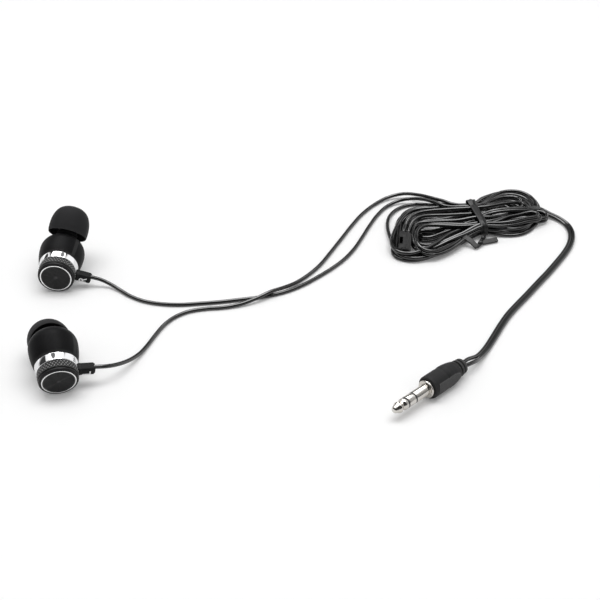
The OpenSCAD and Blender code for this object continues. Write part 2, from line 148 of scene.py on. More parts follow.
def along(line):
    """How far along the line each of its points is."""
    return np.r_[0, np.cumsum(np.linalg.norm(np.diff(line[:, :3], axis=0), axis=1))]


def unit(v):
    return v / (np.linalg.norm(v, axis=-1, keepdims=True) + 1e-12)


def headings(line):
    return unit(np.gradient(line, axis=0))


def carried_sides(line, first):
    """A side direction for each point, carried along the line without twisting."""
    t = headings(line)
    side = np.zeros_like(line)
    now = np.array(first, float)
    for i in range(len(line)):
        now = now - t[i] * now.dot(t[i])
        now /= np.linalg.norm(now)
        side[i] = now
    return side


def grid_faces(rings, count, closed=False):
    """Faces of a tube made of rings of count points."""
    faces = []
    for i in range(rings if closed else rings - 1):
        a, b = i * count, (i + 1) % rings * count
        faces += [(a + k, a + (k + 1) % count, b + (k + 1) % count, b + k) for k in range(count)]
    return faces


def swept(line, side, section, sizes=None, closed=False):
    """The section, (across, up) points, swept along the line. Its across direction is side."""
    up = np.cross(headings(line), side)
    section = np.asarray(section, float)
    sizes = np.ones(len(line)) if sizes is None else sizes
    rings = (line[:, None] + sizes[:, None, None]
             * (section[None, :, :1] * side[:, None] + section[None, :, 1:] * up[:, None]))
    count = len(section)
    faces = grid_faces(len(line), count, closed)
    if not closed:
        faces += [tuple(range(count))[::-1], tuple(range(len(line) * count - count, len(line) * count))]
    return rings.reshape(-1, 3), faces


def skinned(rings):
    """A skin over rings of equal count, closed at both ends."""
    rings = [np.asarray(ring, float) for ring in rings]
    count, total = len(rings[0]), len(rings) * len(rings[0])
    faces = grid_faces(len(rings), count)
    faces += [tuple(range(count))[::-1], tuple(range(total - count, total))]
    return np.vstack(rings), faces


def round_section(radius, sides):
    a = np.arange(sides) * 2 * math.pi / sides
    return np.stack([radius * np.cos(a), radius * np.sin(a)], axis=1)


def round_tube(line, radius, sides):
    side = carried_sides(line, np.cross(headings(line)[0], (0.1, 0.2, 1.0)))
    return swept(line, side, round_section(radius, sides))


def lathed(profile, steps, closed=True):
    """The (radius, z) profile turned round the z axis."""
    profile = np.asarray(profile, float)
    a = np.arange(steps) * 2 * math.pi / steps
    rings = np.stack([profile[:, None, 0] * np.cos(a), profile[:, None, 0] * np.sin(a),
                      np.broadcast_to(profile[:, None, 1], (len(profile), steps))], axis=2)
    return rings.reshape(-1, 3), grid_faces(len(profile), steps, closed)


def eased(profile, radius, closed=True, cuts=4):
    """The profile with each corner rounded off."""
    p = np.asarray(profile, float)
    out = []
    for i in range(len(p)):
        if not closed and i in (0, len(p) - 1):
            out.append(p[i][None])
            continue
        a, b, c = p[i - 1], p[i], p[(i + 1) % len(p)]
        reach = min(radius, 0.45 * np.linalg.norm(a - b), 0.45 * np.linalg.norm(c - b))
        start, end = b + unit(a - b) * reach, b + unit(c - b) * reach
        t = np.linspace(0, 1, cuts)[:, None]
        out.append((1 - t)**2 * start + 2 * t * (1 - t) * b + t**2 * end)
    return np.vstack(out)


def arc(cx, cy, radius, start, end, cuts):
    """Points on a circle about (cx, cy), from one angle in degrees to the other."""
    a = np.radians(np.linspace(start, end, cuts))
    return np.stack([cx + radius * np.cos(a), cy + radius * np.sin(a)], axis=1)


def joined(*shells):
    """Several (points, faces) shells as one."""
    points, faces, base = [], [], 0
    for p, f in shells:
        points.append(p)
        faces += [tuple(base + k for k in face) for face in f]
        base += len(p)
    return np.vstack(points), faces


def placed(place, shell):
    return moved(place, shell[0]), shell[1]


def piece(name, shell, material, body="earphones", replaces=(), crease=35):
    """A mesh piece that rides on a body and stands for the CAD nodes named."""
    mesh = bpy.data.meshes.new(name)
    mesh.from_pydata((np.asarray(shell[0]) * MM).tolist(), [], shell[1])
    work = bmesh.new()
    work.from_mesh(mesh)
    bmesh.ops.remove_doubles(work, verts=work.verts, dist=MERGE_GAP_M)
    bmesh.ops.recalc_face_normals(work, faces=work.faces)
    work.to_mesh(mesh)
    work.free()
    mesh.shade_smooth()
    mesh.set_sharp_from_angle(angle=math.radians(crease))
    mesh.materials.append(MATERIALS[material])
    obj = bpy.data.objects.new(name, mesh)
    scene.collection.objects.link(obj)
    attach(obj, body)
    if replaces:
        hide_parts(*replaces)
    return obj


def painted_highlight(obj, place, share):
    """Keeps how much painted highlight each point takes, given by share from the points in the place's own
    axes.
    """
    local = moved(place.inverted(), [v.co / MM for v in obj.data.vertices])
    values = obj.data.attributes.new(PAINTED_HIGHLIGHT, "FLOAT", "POINT")
    values.data.foreach_set("value", np.clip(share(local), 0, 1).astype(np.float32))


# ---------- Materials ----------


def new_group(name, inputs, outputs):
    """A shader node group with a socket per (label, value). A value of four numbers is a colour."""
    group = bpy.data.node_groups.new(name, "ShaderNodeTree")
    for way, sockets in (("INPUT", inputs), ("OUTPUT", outputs)):
        for label, value in sockets:
            kind = "NodeSocketFloat" if isinstance(value, float) else "NodeSocketColor"
            socket = group.interface.new_socket(label, in_out=way, socket_type=kind)
            socket.default_value = value
    return group, group.nodes.new("NodeGroupInput").outputs, group.nodes.new("NodeGroupOutput").inputs


def node(tree, kind, **values):
    made = tree.nodes.new(kind)
    for key, value in values.items():
        setattr(made, key, value)
    return made


def feed(tree, socket, value):
    """Gives a socket a constant or what another node puts out."""
    if isinstance(value, bpy.types.NodeSocket):
        tree.links.new(value, socket)
    else:
        socket.default_value = value


def maths(tree, operation, a, b):
    made = node(tree, "ShaderNodeMath", operation=operation)
    feed(tree, made.inputs[0], a)
    feed(tree, made.inputs[1], b)
    return made.outputs[0]


def noise(tree, where, scale, detail, roughness=0.55):
    made = node(tree, "ShaderNodeTexNoise")
    for label, value in (("Vector", where), ("Scale", scale), ("Detail", detail), ("Roughness", roughness)):
        feed(tree, made.inputs[label], value)
    return made.outputs["Fac"]


def blend(tree, share, a, b):
    """Colour a turning into colour b."""
    made = node(tree, "ShaderNodeMix", data_type="RGBA")
    for label, value in (("Factor", share), ("A", a), ("B", b)):
        feed(tree, made.inputs[label], value)
    return made.outputs["Result"]


def grey(level):
    return (level, level, level, 1.0)


def build_surface_group():
    """Fine moulded grain, and the wide patches of tone and gloss of plastic that is handled."""
    group, given, out = new_group(
        "moulded_surface",
        [("Tone", grey(0.02)), ("Other tone", grey(0.03)), ("Smoothest", 0.3), ("Roughest", 0.5),
         ("Grain per metre", 9000.0), ("Patches per metre", 220.0)],
        [("Colour", grey(0.0)), ("Roughness", 0.0), ("Grain", 0.0)])
    where = node(group, "ShaderNodeTexCoord").outputs["Object"]
    grain = noise(group, where, given["Grain per metre"], 2.0)
    patches = noise(group, where, given["Patches per metre"], 4.0, 0.6)
    gloss = node(group, "ShaderNodeMapRange")
    for label, value in (("Value", patches), ("To Min", given["Smoothest"]), ("To Max", given["Roughest"])):
        feed(group, gloss.inputs[label], value)
    feed(group, out["Colour"], blend(group, patches, given["Tone"], given["Other tone"]))
    feed(group, out["Roughness"], gloss.outputs["Result"])
    feed(group, out["Grain"], grain)
    return group


def build_edge_group():
    """Raised edges rubbed lighter, broken up as real rubbing breaks them."""
    group, given, out = new_group(
        "rubbed_edges", [("Colour", grey(0.02)), ("Rubbed", grey(0.1)), ("Width", 0.03), ("Strength", 0.5)],
        [("Colour", grey(0.0))])
    where = node(group, "ShaderNodeTexCoord").outputs["Object"]
    over = maths(group, "SUBTRACT", node(group, "ShaderNodeNewGeometry").outputs["Pointiness"], 0.5)
    worn = maths(group, "MULTIPLY", maths(group, "DIVIDE", over, given["Width"]),
                 noise(group, where, 1400.0, 4.0, 0.7))
    edge = maths(group, "MINIMUM", maths(group, "MAXIMUM", worn, 0.0), 1.0)
    share = maths(group, "MULTIPLY", edge, given["Strength"])
    feed(group, out["Colour"], blend(group, share, given["Colour"], given["Rubbed"]))
    return group


def build_painted_highlight_group():
    """Painted highlights: stretches painted lighter than the rest where the light would catch them, by the
    share kept for each point.
    """
    group, given, out = new_group("painted_highlights", [("Colour", grey(0.02)), ("Paler", grey(0.1))],
                                  [("Colour", grey(0.0))])
    share = node(group, "ShaderNodeAttribute", attribute_name=PAINTED_HIGHLIGHT).outputs["Fac"]
    feed(group, out["Colour"], blend(group, share, given["Colour"], given["Paler"]))
    return group


SURFACE = build_surface_group()
EDGES = build_edge_group()
PAINTED_HIGHLIGHTS = build_painted_highlight_group()
# Per finish: its tone and the tone of its patches, roughness from and to, grains per metre, depth of
# the grain, how metallic it is, how light its rubbed edges are, its shine (0.5 is plain plastic) and
# how light its painted highlights are, where it has them.
FINISHES = {
    "cap_plastic": dict(tone=(0.006, 0.006, 0.0065), other=(0.010, 0.010, 0.0105), rough=(0.34, 0.48),
                        grain=11000, depth=0.006, edge=0.04, shine=0.16, highlight_tone=0.30),
    "disc_face": dict(tone=(0.036, 0.036, 0.037), other=(0.043, 0.043, 0.044), rough=(0.62, 0.74),
                      grain=16000, depth=0.006, edge=0.08, shine=0.3),
    "bright_ring": dict(tone=(0.90, 0.90, 0.90), other=(0.84, 0.84, 0.85), rough=(0.10, 0.17),
                        grain=6000, depth=0.0006, metal=1.0, edge=0.9),
    "chrome": dict(tone=(0.74, 0.74, 0.75), other=(0.68, 0.68, 0.69), rough=(0.03, 0.07),
                   grain=2400, depth=0.0003, metal=1.0, edge=0.9),
    "housing_plastic": dict(tone=(0.0055, 0.0055, 0.006), other=(0.008, 0.008, 0.0085), rough=(0.34, 0.46),
                            grain=9000, depth=0.0025, edge=0.05, shine=0.03),
    "tip_silicone": dict(tone=(0.018, 0.018, 0.019), other=(0.024, 0.024, 0.025), rough=(0.55, 0.66),
                         grain=7000, depth=0.006, edge=0.06, shine=0.05),
    "boot_rubber": dict(tone=(0.007, 0.007, 0.0075), other=(0.011, 0.011, 0.0115), rough=(0.42, 0.54),
                        grain=9500, depth=0.006, edge=0.03, shine=0.08),
    "cord_jacket": dict(tone=(0.0025, 0.0025, 0.0028), other=(0.0045, 0.0045, 0.0048), rough=(0.10, 0.16),
                        grain=5200, depth=0.004, edge=0.006, shine=0.7),
    "splitter_rubber": dict(tone=(0.0048, 0.0048, 0.005), other=(0.0075, 0.0075, 0.0078),
                            rough=(0.34, 0.46), grain=9000, depth=0.004, edge=0.04, shine=0.08, highlight_tone=0.05),
    "tie_plastic": dict(tone=(0.006, 0.006, 0.0065), other=(0.010, 0.010, 0.0105), rough=(0.28, 0.42),
                        grain=4200, depth=0.010, edge=0.03, shine=0.22),
    "plug_rubber": dict(tone=(0.014, 0.014, 0.0145), other=(0.022, 0.022, 0.0225), rough=(0.50, 0.62),
                        grain=8500, depth=0.008, edge=0.10, shine=0.1, highlight_tone=0.085),
    "nickel": dict(tone=(0.60, 0.57, 0.53), other=(0.50, 0.475, 0.44), rough=(0.14, 0.24),
                   grain=5000, depth=0.0010, metal=1.0, edge=0.8),
    "insulator": dict(tone=(0.008, 0.008, 0.008), other=(0.013, 0.013, 0.013), rough=(0.26, 0.36),
                      grain=9000, depth=0.002, edge=0.04),
    "mesh_steel": dict(tone=(0.30, 0.30, 0.31), other=(0.20, 0.20, 0.21), rough=(0.32, 0.46),
                       grain=8000, depth=0.003, metal=1.0, edge=0.5),
    "board": dict(tone=(0.010, 0.060, 0.022), other=(0.020, 0.095, 0.036), rough=(0.40, 0.55),
                  grain=6000, depth=0.003, edge=0.30),
    "yoke_steel": dict(tone=(0.42, 0.42, 0.43), other=(0.33, 0.33, 0.34), rough=(0.28, 0.42),
                       grain=7000, depth=0.003, metal=1.0, edge=0.6),
    "magnet": dict(tone=(0.50, 0.50, 0.51), other=(0.42, 0.42, 0.43), rough=(0.22, 0.34),
                   grain=6000, depth=0.002, metal=1.0, edge=0.3),
    "frame_plastic": dict(tone=(0.030, 0.030, 0.031), other=(0.042, 0.042, 0.043), rough=(0.50, 0.62),
                          grain=8000, depth=0.004, edge=0.10),
    "coil_copper": dict(tone=(0.62, 0.24, 0.10), other=(0.50, 0.18, 0.07), rough=(0.25, 0.40),
                        grain=9000, depth=0.004, metal=1.0, edge=0.6),
    "film": dict(tone=(0.36, 0.33, 0.28), other=(0.44, 0.40, 0.34), rough=(0.18, 0.30),
                 grain=3000, depth=0.002, edge=0.4),
    "print_white": dict(tone=(0.86, 0.86, 0.86), other=(0.76, 0.76, 0.76), rough=(0.42, 0.55),
                        grain=12000, depth=0.004, edge=0.7),
}


def effect(tree, group, **values):
    """The group's outputs, with its inputs fed by the values."""
    made = node(tree, "ShaderNodeGroup", node_tree=group)
    for label, value in values.items():
        feed(tree, made.inputs[label.replace("_", " ")], value)
    return made.outputs


def build_material(name, tone, other, rough, grain, depth, metal=0.0, edge=0.1, shine=0.5, highlight_tone=None):
    material = bpy.data.materials.new(name)
    material.use_nodes = True
    tree = material.node_tree
    surface = effect(tree, SURFACE, Tone=(*tone, 1), Other_tone=(*other, 1), Smoothest=rough[0],
                     Roughest=rough[1], Grain_per_metre=grain)
    colour = effect(tree, EDGES, Colour=surface["Colour"], Rubbed=grey(edge))["Colour"]
    if highlight_tone:
        colour = effect(tree, PAINTED_HIGHLIGHTS, Colour=colour, Paler=grey(highlight_tone))["Colour"]
    bump = node(tree, "ShaderNodeBump")
    bump.inputs["Distance"].default_value = depth * MM
    feed(tree, bump.inputs["Height"], surface["Grain"])
    shader = tree.nodes["Principled BSDF"].inputs
    for label, value in (("Base Color", colour), ("Roughness", surface["Roughness"]), ("Metallic", metal),
                         ("Normal", bump.outputs["Normal"]), ("Specular IOR Level", shine)):
        feed(tree, shader[label], value)
    return material


MATERIALS = {name: build_material(name, **finish) for name, finish in FINISHES.items()}


def dress_cad_nodes():
    """Every node that is carried over takes the finish of its material slot."""
    for part in frame["record"]["subparts"]:
        faces = nodes[part["node"]].data
        faces.materials.clear()
        faces.materials.append(MATERIALS[part["material_slot"]])


dress_cad_nodes()

# ---------- The hank: plan ----------

# A strand's radius, the distance between the twin cord's conductors and that between the particles
# that a strand is settled as.
STRAND_R = 0.625
PAIR = 1.2
STEP = 1.2
# The tie: its middle on the floor, the way of the bundle there and the way across it.
TIE_AT = np.array([133.4, 59.1])
TIE_TURN = math.radians(11)
TIE_U = np.array([math.cos(TIE_TURN), math.sin(TIE_TURN)])
TIE_V = np.array([-math.sin(TIE_TURN), math.cos(TIE_TURN)])
SPLITTER_SIZE = (9.2, 4.2, 2.6)


def in_tie(v, z):
    at = TIE_AT + TIE_V * v
    return (at[0], at[1], z)


def on_splitter(x, y, z):
    return tuple(moved(SPLITTER_PLACE, [(x, y, z)])[0])


# Points of the twin cord's winding in order, in groups of the same lean. A lean of 0 lies flat,
# and 85 stands on edge.
MAIN_PLAN = (
    (0, (on_splitter(-4.6, 0, 0), on_splitter(-5.4, 0, 0))),
    (10, ((107.1, 36.9, 1.7), (108.4, 36.2, 1.9), (110.2, 36.4, 1.9), (112, 37.6, 1.6))),
    (25, ((113.8, 39.2, 1.1), (116.8, 41.6, 0.9), (121, 44.8, 0.9), (126, 47.6, 1.1),
          in_tie(-6.4, 1.5))),
    (40, ((140.1, 53, 1.25),)),
    (85, ((143.8, 53.1, 1.25), (147, 54.4, 1.25), (149.5, 56.8, 1.25), (151.6, 60, 1.25),
          (153.2, 63.6, 1.3), (154.2, 67.8, 1.3), (153.9, 72.4, 1.4), (151.9, 76.4, 1.4),
          (148.4, 78.4, 1.4), (144.2, 77.8, 1.5))),
    (50, ((139.8, 74.4, 1.6),)),
    (20, (in_tie(6.8, 1.5),)),
    (40, ((124, 68.2, 1.4), (117, 69.6, 1.3))),
    (60, ((111.4, 67.8, 1.3), (107.8, 63.2, 1.2))),
    (25, ((106.7, 58, 1.1), (106, 52.4, 1), (105.2, 47.2, 0.9), (104.6, 43, 0.9))),
    (10, ((104.5, 39.6, 0.75), (106.2, 37.1, 0.7), (109.0, 36.4, 0.7), (112.8, 37.3, 0.7))),
    (25, ((117, 39.9, 0.9), (121.6, 42.8, 1.0))),
    (20, ((126.2, 46.8, 1.3),)),
    (10, (in_tie(-4.2, 1.5),)),
    (40, ((140.9, 54.6, 1.3),)),
    (85, ((144.8, 55.2, 1.3), (148, 57.2, 1.3), (150.4, 60.2, 1.3), (151.9, 63.8, 1.4),
          (152.4, 67.8, 1.4), (151.4, 71.4, 1.4), (148.8, 74.4, 1.5), (145.4, 75, 1.6),
          (141.4, 72.8, 1.6))),
    (10, (in_tie(4.4, 1.5),)),
    (40, ((123, 66.4, 1.6), (117.2, 66, 1.8))),
    (60, ((111.6, 64.2, 1.9), (108.7, 60.4, 1.6))),
    (25, ((107.7, 55.6, 1.1), (108.3, 51.4, 0.8), (109.9, 47.6, 0.8))),
    (85, ((111, 44.8, 1.2), (112.4, 42.6, 1.3), (114.6, 41.8, 1.3), (117.6, 43.2, 1.35),
          (120.8, 45.8, 1.4))),
    (40, ((124.8, 49.4, 1.5),)),
    (0, (in_tie(-2, 1.5),)),
    (30, ((141.2, 57.4, 1.5),)),
    (85, ((145.4, 59.2, 1.4), (148.6, 61.2, 1.4), (150.4, 64.4, 1.5), (150.4, 68, 1.5),
          (148.6, 70.8, 1.5), (145.6, 72, 1.6), (142.2, 70.4, 1.6))),
    (20, ((138.6, 67.4, 1.6),)),
    (0, (in_tie(2.2, 1.5),)),
    (30, ((124, 63.4, 1.8), (118.2, 63.2, 1.9))),
    (45, ((113, 62, 1.5), (110.7, 58.4, 1.2))),
    (85, ((110.6, 53.4, 1.3), (112.1, 49.4, 1.3),
          (114.2, 47.4, 1.3), (117, 47.4, 1.35), (120.6, 49.4, 1.4),
          (124.2, 51, 1.6))),
    (85, ((127.8, 53, 2),)),
    (60, (in_tie(-3.6, 2.8),)),
    (20, ((139.2, 54.6, 2.4), (144, 57, 2))),
    (60, ((149, 59.4, 1.7),)),
    (85, ((153.4, 59.8, 1.4), (156.6, 60.2, 1.3), (158.5, 62, 1.3), (157.9, 64.2, 1.3),
          (154.6, 65, 1.5), (149.6, 63.6, 1.9))),
    (30, ((144.6, 60.6, 2.5), (140, 57.4, 3.3))),
    (20, (in_tie(-2.4, 3.9), (127, 55.6, 3.6), (120.4, 55.8, 3.3), (116, 56, 3))),
    (60, ((112.8, 55.2, 2.8),)),
    (85, ((110.9, 52.2, 2.6), (110.2, 48, 2.3), (110.3, 43.8, 1.8), (111.2, 41, 1.4))),
    (60, ((113.2, 40, 1.1),)),
    (30, ((116.4, 41, 0.9), (119.6, 42.8, 0.9), (123.4, 45, 1.2), (127.6, 47.4, 1.5))),
    (20, (in_tie(-7.2, 2.7),)),
    (30, ((140.4, 52.9, 2.4),)),
    (70, ((146, 54.6, 2.3), (150.8, 57.4, 2))),
    (85, ((153.8, 58.9, 1.5), (155.9, 60, 1.4), (156.4, 61.6, 1.4), (154.4, 62.8, 1.4),
          (151, 62.2, 1.6))),
    (40, ((147, 60.6, 2), (142.9, 58.4, 2.8), (139.3, 55.4, 3))),
    (50, (in_tie(-5.6, 3.3), (128.5, 52, 3.4))),
    (30, ((124.3, 52.2, 3.5), (119.6, 52.3, 3.6), (116.2, 51.9, 3.7))),
    (50, ((113.6, 50.6, 3.7),)),
    (85, ((111.9, 48, 3.6), (111.1, 45, 3.4), (110.9, 42, 3.2), (111.2, 39.2, 2.9),
          (112.2, 36.8, 2.6), (114, 35.7, 2.3), (116.6, 36, 2), (120.1, 38.4, 1.6),
          (123.7, 41.7, 1.4))),
    (60, ((127.9, 46.6, 1.3),)),
    (20, (in_tie(-8.2, 1.5),)),
    (50, ((140.1, 51.9, 1.4),)),
    (85, ((143.8, 51.9, 1.3), (147.3, 53, 1.3), (150.3, 55.8, 1.3), (152.6, 59.4, 1.3),
          (154.3, 63.4, 1.35), (155.4, 67.8, 1.4), (155.6, 72.6, 1.4), (154.5, 77.2, 1.4),
          (151.7, 80.4, 1.5), (147.8, 81.1, 1.6), (143.6, 79.4, 1.7))),
    (40, ((139.8, 75.9, 1.9), (136.4, 72, 2.3))),
    (10, (in_tie(6.4, 2.7),)),
    (30, ((124.4, 61.8, 2.1), (118.6, 60.8, 1.6))),
    (85, ((114.6, 59, 1.3), (112.5, 56.4, 1.3), (112.5, 53.6, 1.3), (114, 51.8, 1.3),
          (116.8, 51.6, 1.3), (120.2, 52.6, 1.4))),
    (30, ((123.2, 53.8, 1.6), (126.4, 55.2, 1.9), (129.4, 57, 2.2))),
    (10, (in_tie(-1, 2.6),)),
    (20, ((137.6, 58.6, 4),)),
    (30, ((142.4, 60, 4), (147, 61.2, 3.5), (151.6, 62.8, 2.8))),
    (20, ((156.6, 66.3, 1.7),)),
    (0, ((159.6, 65, 1.3),)),
)

# The two leads' own turns, from the splitter's far end to where each leaves the hank.
LEFT_LEAD_PLAN = (
    on_splitter(4.6, 0.85, 0.1), on_splitter(6.6, 0.85, 0.35), (107.9, 51.6, 3.8),
    (108.8, 54.6, 4.6), (110.8, 57.8, 5.2), (114.4, 60.3, 5.4), (118.4, 61.4, 5.3),
    (124, 62.2, 5.2), (129, 62.8, 5), in_tie(4.1, 4.9), (139, 64.6, 4.6), (142.8, 66.6, 4.2),
    (146.6, 68.2, 3.7), (149.2, 69.4, 3.3), (150.4, 71.2, 3), (149.4, 73.2, 2.9), (146.6, 74, 3),
    (143.2, 73, 3.3), (139.8, 70.6, 3.7), (136.8, 68, 4), in_tie(7.2, 3.9), (124, 71, 2.4),
    (119.4, 72.7, 1), (115.4, 73.6, 0.65), (111.4, 73, 0.65), (107.9, 71.2, 0.65),
    (105.1, 68, 0.65), (103.2, 64, 0.65), (102.3, 58.6, 0.65), (102.3, 53.2, 0.65),
    (102.7, 48.6, 0.65), (103.1, 44.2, 0.65), (103.8, 40.5, 0.65), (105.5, 37.5, 0.65),
    (108.5, 36, 0.65), (112.4, 36.4, 0.65), (116.8, 38.4, 0.65), (121.6, 41.6, 0.65),
    (126.8, 45.8, 0.65), in_tie(-8.5, 1.2), (140.1, 51.7, 0.65), (143.8, 51.7, 0.65),
    (147.2, 52.6, 0.65), (150.4, 54.9, 0.65), (152.9, 58.2, 0.65), (154.8, 62.2, 0.65),
    (156.2, 67, 0.7), (156.6, 72.2, 0.7), (155.5, 77.4, 0.7), (152.6, 81.2, 0.8),
    (148, 82.2, 0.9), (143.6, 80.7, 1.1), (139.8, 77.6, 1.5), (137, 74, 2.4), in_tie(7.3, 4.2),
    (126.6, 65.4, 4.6), (122.6, 68.9, 4.5),
)
RIGHT_LEAD_PLAN = (
    on_splitter(4.6, -0.85, 0.1), on_splitter(6.6, -0.85, 0.35), (109.6, 51.2, 3.8),
    (110.4, 53.6, 4.6), (112.2, 55.9, 5.2), (115.2, 57.8, 5.3), (119, 58.7, 5.2),
    (124.4, 59.5, 5.1), (129, 60.2, 5), in_tie(1.7, 4.9), (138.8, 62.2, 4.7), (142.6, 64.2, 4.3),
    (146.8, 66.2, 3.6), (149.6, 67.6, 3.1), (150.8, 69.4, 2.8), (149.8, 71.2, 2.8),
    (146.8, 71.6, 3), (143.4, 70.4, 3.4), (140, 68.2, 3.8), (137, 66.2, 4), in_tie(3.6, 3.6),
    (124, 66.4, 4), (118.4, 66.8, 3.6), (112.6, 65.8, 3.6), (108.8, 62.4, 3.4),
    (106.6, 57.4, 3.4), (104.8, 51.6, 3), (103.6, 46.6, 2.5), (103.1, 42.4, 2),
    (103.7, 39.1, 1.85), (105.3, 36.4, 1.8), (108.6, 35.1, 1.8), (112.6, 36.6, 1.8), (117.2, 40.8, 1.8),
    (122, 46.8, 1.8), (127.6, 51.8, 1.9), in_tie(-0.2, 1.2), (138.8, 60.6, 1.1),
    (142.6, 62, 1), (145.6, 64, 1), (147, 66.4, 1.2), (146.2, 68.7, 1.6), (143.8, 69.8, 2.2),
    (141, 69.3, 2.9), (137.6, 67.4, 4), in_tie(6, 4.6), (123.2, 65.4, 4.2), (120.1, 68.4, 4.1),
)


def planned_twin():
    """The two conductors' planned lines, side by side at the lean of each stretch."""
    points = np.array([(*p, lean) for lean, group in MAIN_PLAN for p in group])
    centre = even_line(points[:, :3], STEP)
    run = along(points)
    lean = np.radians(np.interp(np.linspace(0, run[-1], len(centre)), run, points[:, 3]))[:, None]
    ahead = headings(centre)
    flat = unit(np.cross(ahead, (0, 0, 1.0)))
    apart = flat * np.cos(lean) - np.cross(flat, ahead) * np.sin(lean)
    return centre + apart * PAIR / 2, centre - apart * PAIR / 2


# ---------- The hank: settling ----------

# Rounds in all, how often the list of near particles is made anew, and how often each round keeps
# the lengths and the distances.
ROUNDS, LIST_EVERY, LENGTH_PASSES, CLEAR_PASSES = 400, 8, 6, 2
# Least distance between two strands, and the distance within which they are compared.
CLEAR = 1.27
NEAR = 2.6
# Particles of one cord that are up to this many places apart don't push each other.
NEIGHBOURS = 4
# Pull towards the plan, how fast it fades and how much of it is left at the end. It is half as
# strong up and down.
HOLD, HOLD_FADE, HOLD_LEFT = 0.04, 1.2, 0.15
HOLD_WAYS = (1, 1, 0.5)
# Fall in each round, and how much of it is left once this share of the rounds is done.
SAG, SAG_LEFT, SAG_UNTIL = 0.008, 0.3, 0.85
FLOOR_GAP = 0.01
# How far a strand may sink into the splitter's ends, sides and top.
SPLITTER_SOFT = (0.1, 0.05, 0.05)
# How stiff a strand, a pair and a pair's diagonals are.
STRAND_STIFF, PAIR_STIFF, SLANT_STIFF = 1.0, 0.9, 0.35
# Reach in particles and strength of each bending constraint.
BENDS = ((1, 0.5), (3, 0.35), (6, 0.15))
# Averaged moves fall short, so they are taken further by this much.
LENGTH_GAIN, CLEAR_GAIN = 1.5, 1.44
# The tie's opening: half its width, its bottom and top, the round of its corners and how much of
# the bundle it holds. It starts wider and higher and closes as the rounds go on.
TIE_HALF = 8.35
TIE_LOW, TIE_TOP = 1.15, 4.95
TIE_CORNER = 1.4
TIE_REACH = 1.9
TIE_WIDER, TIE_HIGHER, TIE_CLOSING = 1.5, 3.0, 2.2
# A bend is too tight where the cosine of the turn at a particle falls short of 1 by more than this.
SHARP = 0.10
# Smoothing: a step towards the neighbours' middle and one back, so that the line doesn't shrink.
CALM_STEPS, CALM_ROUNDS = (0.5, -0.52), 24
# Opening of tight bends: a step towards the neighbours' middle, as often as this.
OPENING, OPENING_ROUNDS = 0.4, 120


